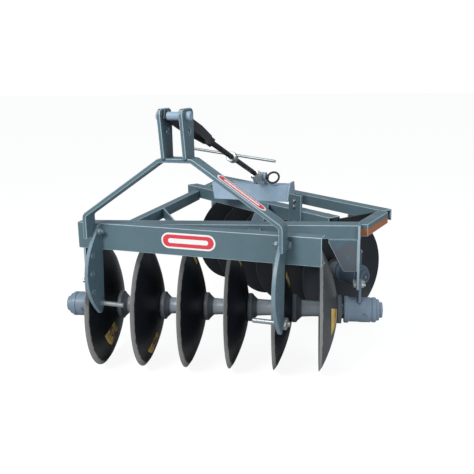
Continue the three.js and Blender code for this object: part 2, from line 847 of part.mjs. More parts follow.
// A round bar across the rod at the tommy bar's place.
function tommyBar(radius, halfLength) {
  const bar = barX(radius, -halfLength, halfLength, 0, 0, 12);
  return bar.rotateY(tommyTilt * deg).translate(0, tommyReach, tommyLift);
}
place(brace, "brace_rod", rodGeometry(), blackSteel);
place(brace, "tommy_bar", tommyBar(tommyRadius, tommyHalfLength), zinc);

function braceEyeGeometry() {
  const barrel = barX(eyeRadius, -eyeHalfWidth, eyeHalfWidth, braceLength, 0, 20);
  const shank = barY(shankRadius, shankStart, braceLength, 16);
  const pinHole = barX(eyePinRadius + eyePinClearance, -earInner, earInner, braceLength, 0, 16);
  const rodHole = barY(rodRadius + rodClearance, shankStart - rodSink, shankStart + rodSink);
  return cut(join(barrel, shank), pinHole, rodHole);
}
place(brace, "brace_eye", braceEyeGeometry(), zinc);

// The folded panel: front slope, level top and rear slope, standing on the cross beam.
function panelGeometry() {
  const foot = beamTop + seat;
  const topFront = ridgeFoot + ridgeSlopeRun;
  const topBack = topFront + ridgeTopRun;
  const path = [
    [ridgeFoot, foot],
    [topFront, ridgeTop],
    [topBack, ridgeTop],
    [topBack + ridgeRearRun, foot],
  ];
  const folded = plateX(ribbon(path, ridgeWall), ridgeLeft, ridgeRight);
  const wedge = plateY(
    [
      [ridgeLeft - 1, foot - 1],
      [ridgeLeft + ridgeCut, foot - 1],
      [ridgeLeft - 1, ridgeTop],
    ],
    ridgeFoot - 10,
    topBack + ridgeRearRun + 10,
  );
  const levelled = block([ridgeLeft, ridgeFoot - 30, foot], [ridgeRight, topBack + 60, ridgeTop + 1]);
  return trim(cut(folded, wedge), levelled);
}

// The end plate across the panel's right-hand end.
function cheekGeometry() {
  const foot = beamTop + seat;
  const topFront = ridgeFoot + ridgeSlopeRun;
  const topBack = topFront + ridgeTopRun;
  const outline = [
    [ridgeFoot - cheekMargin, foot],
    [topBack + ridgeRearRun, foot],
    [topBack, ridgeTop + cheekLip],
    [topFront - cheekLean, ridgeTop + cheekLip],
  ];
  return plateX(outline, ridgeRight - weldSink, ridgeRight + cheekThickness);
}

function earGeometry(x) {
  const [y, z] = eye;
  const foot = ridgeTop - weldSink;
  const steps = 6;
  const crown = [];
  for (let i = 0; i <= steps; i++) {
    const a = (Math.PI * i) / steps;
    crown.push([y + earHalfWidth * Math.cos(a), z + earHalfWidth * Math.sin(a)]);
  }
  const outline = [[ridgeFoot + ridgeSlopeRun, foot], [y + earHalfWidth, foot], ...crown];
  const hole = barX(eyePinRadius + eyePinClearance, x - 10, x + earThickness + 10, y, z, 16);
  return cut(plateX(outline, x, x + earThickness), hole);
}
const ears = [earGeometry(-earInner - earThickness), earGeometry(earInner)];
place(harrow, "brace_panel", join(panelGeometry(), cheekGeometry(), ...ears), paintPale);

// The pin through the eye, with a hoop to pull it out by.
function eyePinGeometry() {
  const outer = earInner + earThickness;
  const pin = barX(eyePinRadius, -outer - eyePinStub, outer + eyePinStub, ...eye, 16);
  const hoop = new THREE.TorusGeometry(loopRadius, loopWire, 8, 20).rotateX(Math.PI / 2);
  hoop.rotateX(-loopTilt * deg).translate(outer + loopGap + loopRadius, ...eye);
  return join(pin, hoop);
}
place(harrow, "brace_pin", eyePinGeometry(), blackSteel);

// Frame of the finished part ----------------------------------------------------------------

harrow.updateMatrixWorld(true);
const bounds = new THREE.Box3().setFromObject(harrow, true);
const middle = bounds.getCenter(new THREE.Vector3());
harrow.position.set(-middle.x, -middle.y, -bounds.min.z);
const footprint = new THREE.Group();
footprint.name = "disc_harrow";
footprint.add(harrow);

export default footprint;
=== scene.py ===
import bpy, bmesh, json, math
import numpy as np
from mathutils import Matrix, Vector


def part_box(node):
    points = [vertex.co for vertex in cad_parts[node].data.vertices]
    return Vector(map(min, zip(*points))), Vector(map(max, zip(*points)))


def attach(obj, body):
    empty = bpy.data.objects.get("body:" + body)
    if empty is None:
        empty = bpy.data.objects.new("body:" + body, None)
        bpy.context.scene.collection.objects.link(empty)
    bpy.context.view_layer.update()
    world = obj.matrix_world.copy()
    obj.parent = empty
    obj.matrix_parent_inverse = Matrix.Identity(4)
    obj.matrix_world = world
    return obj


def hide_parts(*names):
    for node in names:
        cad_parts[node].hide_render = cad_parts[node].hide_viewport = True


# Offset disc harrow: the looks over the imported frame. Metres, +Y runs backwards from the hitch.
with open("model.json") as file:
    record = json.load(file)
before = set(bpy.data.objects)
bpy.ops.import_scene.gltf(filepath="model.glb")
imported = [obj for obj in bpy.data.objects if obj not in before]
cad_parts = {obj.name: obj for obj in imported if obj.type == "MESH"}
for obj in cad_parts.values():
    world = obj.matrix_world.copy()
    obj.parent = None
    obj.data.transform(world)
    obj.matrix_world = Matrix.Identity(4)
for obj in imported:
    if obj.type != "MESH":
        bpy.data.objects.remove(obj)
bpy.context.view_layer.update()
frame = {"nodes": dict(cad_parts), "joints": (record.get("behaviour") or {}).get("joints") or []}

# the hitch's own zero: middle between the hitch plates, the toolbar's front face, the ground
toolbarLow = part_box("toolbar")[0]
toolbarLeft = 0.560
hitchZero = np.array([toolbarLow.x + toolbarLeft, toolbarLow.y, 0.0])


def atHitch(x, y, z):
    return hitchZero + np.array([x, y, z])


# each gang's shaft comes from its joint: a point on it, its direction, and the level direction across it
gangs = {}
for joint in frame["joints"]:
    along = np.array(joint["axis"], float)
    across = np.array([-along[1], along[0], 0.0])
    gangs[joint["child"]] = {"rim": np.array(joint["pos_m"], float), "along": along, "across": across}


def atGang(gang, along, across, up):
    g = gangs[gang]
    return g["rim"] * (1, 1, 0) + g["along"] * along + g["across"] * across + np.array([0, 0, up])


# ---- materials: shared effects first
def groupSocket(group, name, kind, isOutput=False, value=None):
    socket = group.interface.new_socket(
        name=name, in_out="OUTPUT" if isOutput else "INPUT", socket_type=kind
    )
    if value is not None:
        socket.default_value = value


def newGroup(name, inputs, outputs):
    group = bpy.data.node_groups.new(name, "ShaderNodeTree")
    for label, kind, value in inputs:
        groupSocket(group, label, kind, value=value)
    for label, kind in outputs:
        groupSocket(group, label, kind, isOutput=True)
    start = group.nodes.new("NodeGroupInput")
    end = group.nodes.new("NodeGroupOutput")
    return group, start, end


def mathNode(tree, operation, a, b=None, clamp=False):
    node = tree.nodes.new("ShaderNodeMath")
    node.operation = operation
    node.use_clamp = clamp
    for i, value in enumerate([a, b]):
        if value is None:
            continue
        if isinstance(value, (int, float)):
            node.inputs[i].default_value = value
        else:
            tree.links.new(value, node.inputs[i])
    return node.outputs[0]


def noiseNode(tree, vector, scale, detail=3.0, roughness=0.55):
    node = tree.nodes.new("ShaderNodeTexNoise")
    if isinstance(scale, (int, float)):
        node.inputs["Scale"].default_value = scale
    else:
        tree.links.new(scale, node.inputs["Scale"])
    node.inputs["Detail"].default_value = detail
    node.inputs["Roughness"].default_value = roughness
    tree.links.new(vector, node.inputs["Vector"])
    return node.outputs["Fac"]


def rampNode(tree, value, low, high):
    node = tree.nodes.new("ShaderNodeMapRange")
    node.interpolation_type = "SMOOTHSTEP"
    node.inputs["From Min"].default_value = low
    node.inputs["From Max"].default_value = high
    tree.links.new(value, node.inputs["Value"])
    return node.outputs["Result"]


def mixColour(tree, factor, a, b):
    node = tree.nodes.new("ShaderNodeMix")
    node.data_type = "RGBA"
    for socket, value in ((node.inputs[0], factor), (node.inputs[6], a), (node.inputs[7], b)):
        if isinstance(value, tuple):
            socket.default_value = value
        else:
            tree.links.new(value, socket)
    return node.outputs[2]


def makePaintedSteelGroup():
    # sprayed paint: slow colour drift, fine orange peel, chips down to a second colour
    # and dust on what faces up
    group, start, end = newGroup(
        "sprayedPaint",
        [
            ("Paint", "NodeSocketColor", (0.1, 0.14, 0.17, 1)),
            ("Under", "NodeSocketColor", (0.2, 0.2, 0.2, 1)),
            ("Dust", "NodeSocketColor", (0.35, 0.38, 0.4, 1)),
            ("Drift", "NodeSocketFloat", 0.25),
            ("Chips", "NodeSocketFloat", 0.3),
            ("Dust Amount", "NodeSocketFloat", 0.2),
            ("Gloss", "NodeSocketFloat", 0.35),
            ("Peel", "NodeSocketFloat", 0.5),
        ],
        [("Color", "NodeSocketColor"), ("Roughness", "NodeSocketFloat"), ("Height", "NodeSocketFloat")],
    )
    place = group.nodes.new("ShaderNodeTexCoord").outputs["Object"]
    drift = noiseNode(group, place, 3.1, 4)
    streak = noiseNode(group, place, 23.0, 5)
    shade = mathNode(group, "MULTIPLY", mathNode(group, "SUBTRACT", drift, 0.5), start.outputs["Drift"])
    fine = mathNode(group, "MULTIPLY", mathNode(group, "SUBTRACT", streak, 0.5), start.outputs["Drift"])
    level = mathNode(group, "ADD", mathNode(group, "ADD", shade, fine), 1.0)
    brightness = group.nodes.new("ShaderNodeVectorMath")
    brightness.operation = "SCALE"
    group.links.new(start.outputs["Paint"], brightness.inputs[0])
    group.links.new(level, brightness.inputs["Scale"])
    chipNoise = noiseNode(group, place, 61.0, 6, 0.7)
    chipZone = noiseNode(group, place, 5.3, 2)
    chipFine = mathNode(group, "MULTIPLY", chipNoise, 0.6)
    chipEdge = mathNode(group, "ADD", chipFine, mathNode(group, "MULTIPLY", chipZone, 0.4))
    chipReach = mathNode(group, "MULTIPLY", start.outputs["Chips"], 0.16)
    chipLimit = mathNode(group, "SUBTRACT", 0.74, chipReach)
    pastLimit = mathNode(group, "SUBTRACT", chipEdge, chipLimit)
    chips = mathNode(group, "MULTIPLY", pastLimit, 40.0, clamp=True)
    painted = mixColour(group, chips, brightness.outputs[0], start.outputs["Under"])
    facing = group.nodes.new("ShaderNodeSeparateXYZ")
    normal = group.nodes.new("ShaderNodeNewGeometry")
    group.links.new(normal.outputs["Normal"], facing.inputs[0])
    up = rampNode(group, facing.outputs["Z"], 0.2, 0.95)
    speckle = rampNode(group, noiseNode(group, place, 9.0, 6, 0.65), 0.35, 0.7)
    settled = mathNode(group, "MULTIPLY", up, speckle)
    dusty = mathNode(group, "MULTIPLY", settled, start.outputs["Dust Amount"], clamp=True)
    colour = mixColour(group, dusty, painted, start.outputs["Dust"])
    group.links.new(colour, end.inputs["Color"])
    rough = mathNode(group, "ADD", start.outputs["Gloss"], mathNode(group, "MULTIPLY", streak, 0.16))
    worn = mathNode(group, "MULTIPLY", mathNode(group, "ADD", chips, dusty), 0.28)
    rough = mathNode(group, "ADD", rough, worn, clamp=True)
    group.links.new(rough, end.inputs["Roughness"])
    peel = noiseNode(group, place, 340.0, 2)
    height = mathNode(group, "SUBTRACT", mathNode(group, "MULTIPLY", peel, start.outputs["Peel"]), chips)
    group.links.new(height, end.inputs["Height"])
    return group


def makeBareBandGroup():
    # primer left showing below a height, its edge broken up by noise
    group, start, end = newGroup(
        "primerBand",
        [
            ("Level", "NodeSocketFloat", 0.7), ("Spread", "NodeSocketFloat", 0.01),
            ("Scale", "NodeSocketFloat", 18.0)
        ],
        [("Mask", "NodeSocketFloat")],
    )
    place = group.nodes.new("ShaderNodeTexCoord").outputs["Object"]
    height = group.nodes.new("ShaderNodeSeparateXYZ")
    group.links.new(place, height.inputs[0])
    wobble = mathNode(group, "SUBTRACT", noiseNode(group, place, start.outputs["Scale"], 4), 0.5)
    drop = mathNode(group, "SUBTRACT", start.outputs["Level"], height.outputs["Z"])
    shifted = mathNode(group, "ADD", drop, mathNode(group, "MULTIPLY", wobble, start.outputs["Spread"]))
    group.links.new(mathNode(group, "MULTIPLY", shifted, 400.0, clamp=True), end.inputs["Mask"])
    return group


def makeCastGroup():
    # sand-cast skin under paint: coarse grain with soft pits
    group, start, end = newGroup(
        "castSkin",
        [("Grain", "NodeSocketFloat", 180.0), ("Depth", "NodeSocketFloat", 0.6)],
        [("Height", "NodeSocketFloat")],
    )
    place = group.nodes.new("ShaderNodeTexCoord").outputs["Object"]
    grain = noiseNode(group, place, start.outputs["Grain"], 4, 0.6)
    pits = rampNode(group, noiseNode(group, place, 46.0, 3), 0.55, 0.72)
    height = mathNode(group, "SUBTRACT", grain, mathNode(group, "MULTIPLY", pits, 0.7))
    group.links.new(mathNode(group, "MULTIPLY", height, start.outputs["Depth"]), end.inputs["Height"])
    return group


def makeTurnedGroup():
    # distance from a shaft through Origin along Axis, with fine rings that follow it
    group, start, end = newGroup(
        "turnedRings",
        [
            ("Origin", "NodeSocketVector", None),
            ("Axis", "NodeSocketVector", None),
            ("Ring Scale", "NodeSocketFloat", 900.0),
        ],
        [("Radius", "NodeSocketFloat"), ("Rings", "NodeSocketFloat")],
    )
    place = group.nodes.new("ShaderNodeTexCoord").outputs["Object"]

    def vector(operation, a, b=None, scale=None):
        node = group.nodes.new("ShaderNodeVectorMath")
        node.operation = operation
        group.links.new(a, node.inputs[0])
        if b is not None:
            group.links.new(b, node.inputs[1])
        if scale is not None:
            group.links.new(scale, node.inputs["Scale"])
        return node

    offset = vector("SUBTRACT", place, start.outputs["Origin"]).outputs[0]
    along = vector("DOT_PRODUCT", offset, start.outputs["Axis"]).outputs["Value"]
    onAxis = vector("SCALE", start.outputs["Axis"], scale=along).outputs[0]
    radius = vector("LENGTH", vector("SUBTRACT", offset, onAxis).outputs[0]).outputs["Value"]
    group.links.new(radius, end.inputs["Radius"])
    ringPlace = group.nodes.new("ShaderNodeCombineXYZ")
    group.links.new(radius, ringPlace.inputs[0])
    group.links.new(mathNode(group, "MULTIPLY", along, 0.05), ringPlace.inputs[1])
    rings = noiseNode(group, ringPlace.outputs[0], start.outputs["Ring Scale"], 2)
    group.links.new(rings, end.inputs["Rings"])
    return group


paintGroup = makePaintedSteelGroup()
castGroup = makeCastGroup()
bareBandGroup = makeBareBandGroup()
turnedGroup = makeTurnedGroup()


def rgba(red, green, blue):
    # a colour as it looks on screen, 0 to 255, turned into linear light
    values = np.array([red, green, blue]) / 255.0
    linear = np.where(values <= 0.04045, values / 12.92, ((values + 0.055) / 1.055) ** 2.4)
    return (*[float(v) for v in linear], 1.0)


def newMaterial(name):
    material = bpy.data.materials.new(name)
    material.use_nodes = True
    tree = material.node_tree
    shader = next(n for n in tree.nodes if n.type == "BSDF_PRINCIPLED")
    return material, tree, shader


def addBump(tree, shader, height, strength, distance):
    bump = tree.nodes.new("ShaderNodeBump")
    bump.inputs["Strength"].default_value = strength
    bump.inputs["Distance"].default_value = distance
    tree.links.new(height, bump.inputs["Height"])
    tree.links.new(bump.outputs["Normal"], shader.inputs["Normal"])


usualPaint = {
    "drift": 0.4, "dustAmount": 0.2, "metallic": 0.0, "specular": 0.3, "coat": 0.08,
    "coatRoughness": 0.3, "bump": 0.1
}
paintInputs = {
    "drift": "Drift", "chips": "Chips", "dustAmount": "Dust Amount", "gloss": "Gloss", "peel": "Peel"
}


def paintMaterial(name, look):
    look = {**usualPaint, **look}
    material, tree, shader = newMaterial(name)
    node = tree.nodes.new("ShaderNodeGroup")
    node.node_tree = paintGroup
    for label in ("Paint", "Under", "Dust"):
        node.inputs[label].default_value = rgba(*look[label.lower()])
    for key, label in paintInputs.items():
        if key in look:
            node.inputs[label].default_value = look[key]
    colour = node.outputs["Color"]
    if "primerLevel" in look:
        bare = tree.nodes.new("ShaderNodeGroup")
        bare.node_tree = bareBandGroup
        bare.inputs["Level"].default_value = look["primerLevel"]
        bare.inputs["Spread"].default_value = look["primerSpread"]
        bare.inputs["Scale"].default_value = look["primerScale"]
        colour = mixColour(tree, bare.outputs["Mask"], colour, rgba(*look["primer"]))
    tree.links.new(colour, shader.inputs["Base Color"])
    tree.links.new(node.outputs["Roughness"], shader.inputs["Roughness"])
    height = node.outputs["Height"]
    if look.get("cast"):
        cast = tree.nodes.new("ShaderNodeGroup")
        cast.node_tree = castGroup
        cast.inputs["Depth"].default_value = look["cast"]
        height = mathNode(tree, "ADD", height, mathNode(tree, "MULTIPLY", cast.outputs["Height"], 3.0))
    addBump(tree, shader, height, look["bump"], 0.0006)
    shader.inputs["Metallic"].default_value = look["metallic"]
    shader.inputs["Specular IOR Level"].default_value = look["specular"]
    shader.inputs["Coat Weight"].default_value = look["coat"]
    shader.inputs["Coat Roughness"].default_value = look["coatRoughness"]
    return material


paintLooks = {
    "slatePaint": dict(
        paint=(86, 109, 119), under=(60, 58, 56), dust=(135, 152, 164), drift=0.24, chips=0.14,
        gloss=0.3
    ),
    "slateOverPrimer": dict(
        paint=(86, 109, 119), under=(60, 58, 56), dust=(135, 152, 164), drift=0.24, chips=0.14,
        gloss=0.34, primer=(176, 98, 46), primerLevel=0.697, primerSpread=0.024,
        primerScale=14.0
    ),
    # a darker copy of the slate paint, painted shade under the beam, with grey spots that thicken towards
    # the bottom
    "slatePaintedShadeSpotted": dict(
        paint=(74, 95, 107), under=(60, 58, 56), dust=(115, 132, 144), drift=0.45, chips=0.2,
        dustAmount=0.15, gloss=0.4, primer=(84, 90, 98), primerLevel=0.63, primerSpread=0.35,
        primerScale=14.0
    ),
    # lighter slate for the hitch plates' edges and front faces: partly worn paint, partly painted highlight
    "slateHitchWearAndPaintedHighlight": dict(
        paint=(112, 134, 146), under=(96, 88, 78), dust=(150, 166, 178), chips=0.7,
        gloss=0.36
    ),
    "boltPainted": dict(
        paint=(112, 128, 138), under=(120, 116, 110), dust=(140, 150, 156), chips=0.8,
        dustAmount=0.15, gloss=0.38, metallic=0.2, coat=0.1
    ),
    # a darker copy of the housing paint for the rear gang's housings: painted shade
    "housingPaintedShade": dict(
        paint=(82, 98, 114), under=(60, 60, 60), dust=(120, 138, 156), drift=0.35, chips=0.2,
        dustAmount=0.35, gloss=0.42, cast=0.8, bump=0.4, coat=0.15
    ),
    # lighter slate for the bevelled edges and the hangers' front edges: partly worn paint, partly painted
    # highlight
    "slateEdgeWearAndPaintedHighlight": dict(
        paint=(150, 170, 180), under=(170, 160, 150), dust=(175, 190, 200), drift=0.35, chips=0.6,
        gloss=0.3
    ),
    # a lighter slate than the frame for the brace panel, standing in for sky light on it: painted light
    "panelPaintedSkyLight": dict(
        paint=(140, 162, 182), under=(90, 95, 100), dust=(185, 200, 215), drift=0.16, chips=0.1,
        dustAmount=0.25, gloss=0.34
    ),
    "spoolPaint": dict(
        paint=(146, 156, 164), under=(120, 112, 104), dust=(190, 198, 204), drift=0.35, chips=0.4,
        dustAmount=0.45, gloss=0.27, cast=0.25, metallic=0.25
    ),
    "flangePaint": dict(
        paint=(96, 104, 112), under=(120, 112, 104), dust=(120, 128, 134), chips=0.5,
        dustAmount=0.3, gloss=0.34, cast=0.4
    ),
    "housingPaint": dict(
        paint=(120, 138, 156), under=(70, 66, 62), dust=(165, 182, 198), drift=0.25, chips=0.15,
        dustAmount=0.45, gloss=0.42, cast=0.8, bump=0.4, coat=0.18
    ),
    "blackSteel": dict(
        paint=(42, 44, 48), under=(70, 64, 60), dust=(70, 72, 74), chips=0.35,
        gloss=0.36, metallic=0.3, coat=0.1
    ),
    "zincSteel": dict(
        paint=(196, 200, 198), under=(140, 134, 124), dust=(170, 172, 170), drift=0.3, chips=0.3,
        dustAmount=0.1, gloss=0.34, metallic=0.45, coat=0.0, peel=0.2
    ),
    "boltSteel": dict(
        paint=(138, 146, 150), under=(96, 88, 80), dust=(130, 132, 130), chips=0.5,
        dustAmount=0.15, gloss=0.3, metallic=0.7, coat=0.1
    ),
    "weldPaint": dict(
        paint=(84, 102, 111), under=(60, 55, 50), dust=(120, 132, 140), chips=0.3,
        gloss=0.36, cast=0.3
    ),
    "labelRed": dict(
        paint=(206, 62, 74), under=(150, 60, 60), dust=(200, 120, 120), drift=0.12, chips=0.15,
        dustAmount=0.05, gloss=0.3, peel=0.1
    ),
    "labelWhite": dict(
        paint=(232, 230, 230), under=(190, 188, 186), dust=(210, 208, 205), drift=0.06, chips=0.2,
        dustAmount=0.05, gloss=0.32, peel=0.1
    ),
    "stickerYellow": dict(
        paint=(214, 182, 96), under=(128, 78, 48), dust=(170, 150, 110), drift=0.9, chips=1.0,
        dustAmount=0.15, gloss=0.5, peel=0.1, coat=0.1
    ),
    "stickerBrown": dict(
        paint=(122, 66, 44), under=(214, 190, 150), dust=(150, 110, 80), drift=0.9, chips=1.6,
        gloss=0.5, peel=0.1, coat=0.1
    ),
    "galvanised": dict(
        paint=(150, 157, 160), under=(110, 112, 112), dust=(120, 124, 126), chips=0.4,
        dustAmount=0.1, gloss=0.32, metallic=0.6, coat=0.0, peel=0.2
    ),
}
finish = {name: paintMaterial(name, look) for name, look in paintLooks.items()}


# the front gang's end disc is a lighter grey: partly bare worn steel, partly painted sheen
discColours = {"front_gang": (21, 25, 31), "rear_gang": (27, 34, 42), "end_disc_wear_and_sheen": (62, 66, 68)}
discLook = {
    "under": (70, 66, 64),
    "dust": (54, 62, 70),
    "bandStart": 0.283,
    "bandEnd": 0.289,
    "bandRagged": 0.012,
    "bandDark": (138, 137, 135),
    "bandLight": (190, 188, 186),
    "bandMetallic": 0.45,
    "ringScale": 420.0,
    "bump": 0.16,
}


def discMaterial(key, gang):
    # dark blue-black paint with turned rings and a ragged ground band at the rim of the bulging side
    look = discLook
    material, tree, shader = newMaterial("discSteel_" + key)
    turned = tree.nodes.new("ShaderNodeGroup")
    turned.node_tree = turnedGroup
    turned.inputs["Origin"].default_value = gangs[gang]["rim"]
    turned.inputs["Axis"].default_value = gangs[gang]["along"]
    turned.inputs["Ring Scale"].default_value = look["ringScale"]
    node = tree.nodes.new("ShaderNodeGroup")
    node.node_tree = paintGroup
    node.inputs["Paint"].default_value = rgba(*discColours[key])
    node.inputs["Under"].default_value = rgba(*look["under"])
    node.inputs["Dust"].default_value = rgba(*look["dust"])
    for label, value in (
        ("Drift", 0.5), ("Chips", 0.25), ("Dust Amount", 0.25), ("Gloss", 0.27), ("Peel", 0.3)
    ):
        node.inputs[label].default_value = value
    wobble = noiseNode(tree, tree.nodes.new("ShaderNodeTexCoord").outputs["Object"], 30.0, 4)
    ragged = mathNode(tree, "MULTIPLY", mathNode(tree, "SUBTRACT", wobble, 0.5), look["bandRagged"])
    reach = mathNode(tree, "ADD", turned.outputs["Radius"], ragged)
    onBack = tree.nodes.new("ShaderNodeAttribute")
    onBack.attribute_name = "backFace"
    ground = rampNode(tree, reach, look["bandStart"], look["bandEnd"])
    band = mathNode(tree, "MULTIPLY", ground, onBack.outputs["Fac"])
    rings = turned.outputs["Rings"]
    ringTone = mixColour(tree, rings, rgba(*look["bandDark"]), rgba(*look["bandLight"]))
    colour = mixColour(tree, band, node.outputs["Color"], ringTone)
    tree.links.new(colour, shader.inputs["Base Color"])
    tree.links.new(mathNode(tree, "MULTIPLY", band, look["bandMetallic"]), shader.inputs["Metallic"])
    rough = mathNode(tree, "ADD", node.outputs["Roughness"], mathNode(tree, "MULTIPLY", rings, 0.12))
    tree.links.new(rough, shader.inputs["Roughness"])
    height = mathNode(tree, "ADD", node.outputs["Height"], mathNode(tree, "MULTIPLY", rings, 1.4))
    addBump(tree, shader, height, look["bump"], 0.0005)
    shader.inputs["Specular IOR Level"].default_value = 0.32
    shader.inputs["Coat Weight"].default_value = 0.12
    shader.inputs["Coat Roughness"].default_value = 0.2
    return material


discFinish = {gang: discMaterial(gang, gang) for gang in gangs}
discFinish["end_disc_wear_and_sheen"] = discMaterial("end_disc_wear_and_sheen", "front_gang")
print("materials ready")


# ---- shapes
def addSkin(node, parts, sharpAngle, material, body):
    # one mesh from the parts, standing in for the CAD node of that name
    mesh = finishMesh(node + "_skin", *combine(parts), sharpAngle)
    addPiece(mesh.name, mesh, material, body, [node])
    return mesh


def finishMesh(name, vertices, faces, sharpAngle=35.0):
    mesh = bpy.data.meshes.new(name)
    mesh.from_pydata(np.asarray(vertices).tolist(), [], faces)
    shape = bmesh.new()
    shape.from_mesh(mesh)
    bmesh.ops.remove_doubles(shape, verts=shape.verts, dist=1e-6)
    bmesh.ops.recalc_face_normals(shape, faces=shape.faces)
    shape.to_mesh(mesh)
    shape.free()
    mesh.polygons.foreach_set("use_smooth", np.ones(len(mesh.polygons), bool))
    mesh.set_sharp_from_angle(angle=math.radians(sharpAngle))
    return mesh


def addPiece(name, mesh, material, body, replaces=()):
    piece = bpy.data.objects.new(name, mesh)
    bpy.context.scene.collection.objects.link(piece)
    for item in material if isinstance(material, (list, tuple)) else [material]:
        mesh.materials.append(item)
    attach(piece, body)
    if replaces:
        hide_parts(*replaces)
    return piece


def gridFaces(rows, columns, wrapColumns=True, wrapRows=False):
    # quads between neighbouring rows and columns of a grid, as one array
    i = np.arange(rows if wrapRows else rows - 1)
    j = np.arange(columns if wrapColumns else columns - 1)
    i, j = np.meshgrid(i, j, indexing="ij")
    nextRow, nextColumn = (i + 1) % rows, (j + 1) % columns
    here, below = i * columns, nextRow * columns
    quads = np.stack([here + j, below + j, below + nextColumn, here + nextColumn], -1)
    return quads.reshape(-1, 4).tolist()


def endCaps(rows, columns):
    # the first and the last row of a grid, each closed by one flat face
    return [list(range(columns)), list(range((rows - 1) * columns, rows * columns))]


def crossFrame(axis):
    axis = np.asarray(axis, float) / np.linalg.norm(axis)
    helper = np.array([0, 0, 1.0]) if abs(axis[2]) < 0.9 else np.array([1.0, 0, 0])
    side = np.cross(helper, axis)
    side /= np.linalg.norm(side)
    return axis, side, np.cross(axis, side)


def turnedParts(profile, origin, axis, sides=48, closed=False):
    # profile rows are (distance along the axis, radius); each row becomes a circle about the axis
    axis, side, up = crossFrame(axis)
    profile = np.asarray(profile, float)
    angle = np.arange(sides) * 2 * math.pi / sides
    ring = np.cos(angle)[:, None] * side + np.sin(angle)[:, None] * up
    points = np.asarray(origin) + profile[:, 0, None, None] * axis + profile[:, 1, None, None] * ring[None]
    return points.reshape(-1, 3), gridFaces(len(profile), sides, wrapRows=closed)


def sweptParts(section, path, normal):
    # section rows are (side, up) offsets carried along the path; the ends are closed flat
    path = np.asarray(path, float)
    section = np.asarray(section, float)
    tangent = np.gradient(path, axis=0)
    tangent /= np.linalg.norm(tangent, axis=1)[:, None]
    side = np.cross(tangent, normal)
    side /= np.linalg.norm(side, axis=1)[:, None]
    up = np.cross(side, tangent)
    sideways = section[None, :, 0, None] * side[:, None]
    points = path[:, None] + sideways + section[None, :, 1, None] * up[:, None]
    rows, columns = len(path), len(section)
    return points.reshape(-1, 3), gridFaces(rows, columns) + endCaps(rows, columns)


def radiusOf(points, origin, axis):
    offset = points - origin
    return np.linalg.norm(offset - (offset @ axis)[:, None] * axis, axis=1)


def markFaces(mesh, choose, index=1):
    # faces picked by their middle and normal take the piece's next material
    count = len(mesh.polygons)
    middle, normal, current = np.empty(count * 3), np.empty(count * 3), np.empty(count, np.int32)
    mesh.polygons.foreach_get("center", middle)
    mesh.polygons.foreach_get("normal", normal)
    mesh.polygons.foreach_get("material_index", current)
    chosen = choose(middle.reshape(-1, 3), normal.reshape(-1, 3))
    mesh.polygons.foreach_set("material_index", np.where(chosen, index, current).astype(np.int32))


def combine(parts):
    vertices, faces, count = [], [], 0
    for points, quads in parts:
        vertices.append(points)
        faces.extend([[i + count for i in face] for face in quads])
        count += len(points)
    return np.concatenate(vertices), faces


def rounded(profile, radius, steps=3):
    # each inner corner of an open profile is replaced by a short arc that leaves and meets it at the radius
    profile = [np.asarray(p, float) for p in profile]
    out = [profile[0]]
    for before, corner, after in zip(profile, profile[1:], profile[2:]):
        a, b = before - corner, after - corner
        reach = min(radius, 0.45 * np.linalg.norm(a), 0.45 * np.linalg.norm(b))
        a, b = a / np.linalg.norm(a) * reach, b / np.linalg.norm(b) * reach
        t = np.linspace(0, 1, steps + 1)[:, None]
        out.extend(corner + a * (1 - t) ** 2 + b * t**2)
    out.append(profile[-1])
    return np.array(out)


def softCopy(node, material, width, edge=None):
    # a copy of a CAD node with its flat faces whole again and its edges rounded by a live bevel
    source = frame["nodes"][node].data
    mesh = bpy.data.meshes.new(node + "_skin")
    shape = bmesh.new()
    shape.from_mesh(source)
    bmesh.ops.remove_doubles(shape, verts=shape.verts, dist=2e-5)
    bmesh.ops.dissolve_limit(shape, angle_limit=math.radians(0.6), verts=shape.verts, edges=shape.edges)
    shape.to_mesh(mesh)
    shape.free()
    mesh.polygons.foreach_set("use_smooth", np.ones(len(mesh.polygons), bool))
    mesh.polygons.foreach_set("material_index", np.zeros(len(mesh.polygons), np.int32))
    mesh.set_sharp_from_angle(angle=math.radians(30))
    piece = addPiece(mesh.name, mesh, [material, edge or material], "frame", [node])
    bevel = piece.modifiers.new("softEdges", "BEVEL")
    bevel.width = width
    bevel.segments = 3
    bevel.limit_method = "ANGLE"
    bevel.angle_limit = math.radians(32)
    bevel.harden_normals = True
    bevel.use_clamp_overlap = True
    # the bevel faces take the second material, the lighter edge paint: partly worn paint, partly painted
    # highlight
    bevel.material = 1
    return piece


# ---- frame members, plates and brackets keep their CAD shape with rounded edges in a lighter paint, partly worn paint and partly painted highlight
edgeWidths = {
    "toolbar": 0.003,
    "front_gang_beam": 0.003,
    "rear_gang_beam": 0.003,
    "cross_beam": 0.0045,
    "left_side_front": 0.003,
    "left_side_middle": 0.0025,
    "left_side_rear": 0.003,
    "centre_front": 0.003,
    "centre_member": 0.003,
    "right_side_member": 0.003,
    "clamp_plate": 0.0022,
    "hitch_plate_left": 0.0028,
    "hitch_plate_right": 0.0028,
    "a_frame": 0.0028,
    "mast_upright_left": 0.0028,
    "mast_upright_right": 0.0028,
    "front_gang_hanger_left": 0.0022,
    "front_gang_hanger_right": 0.0022,
    "rear_gang_hanger_left": 0.0022,
    "rear_gang_hanger_right": 0.0022,
}
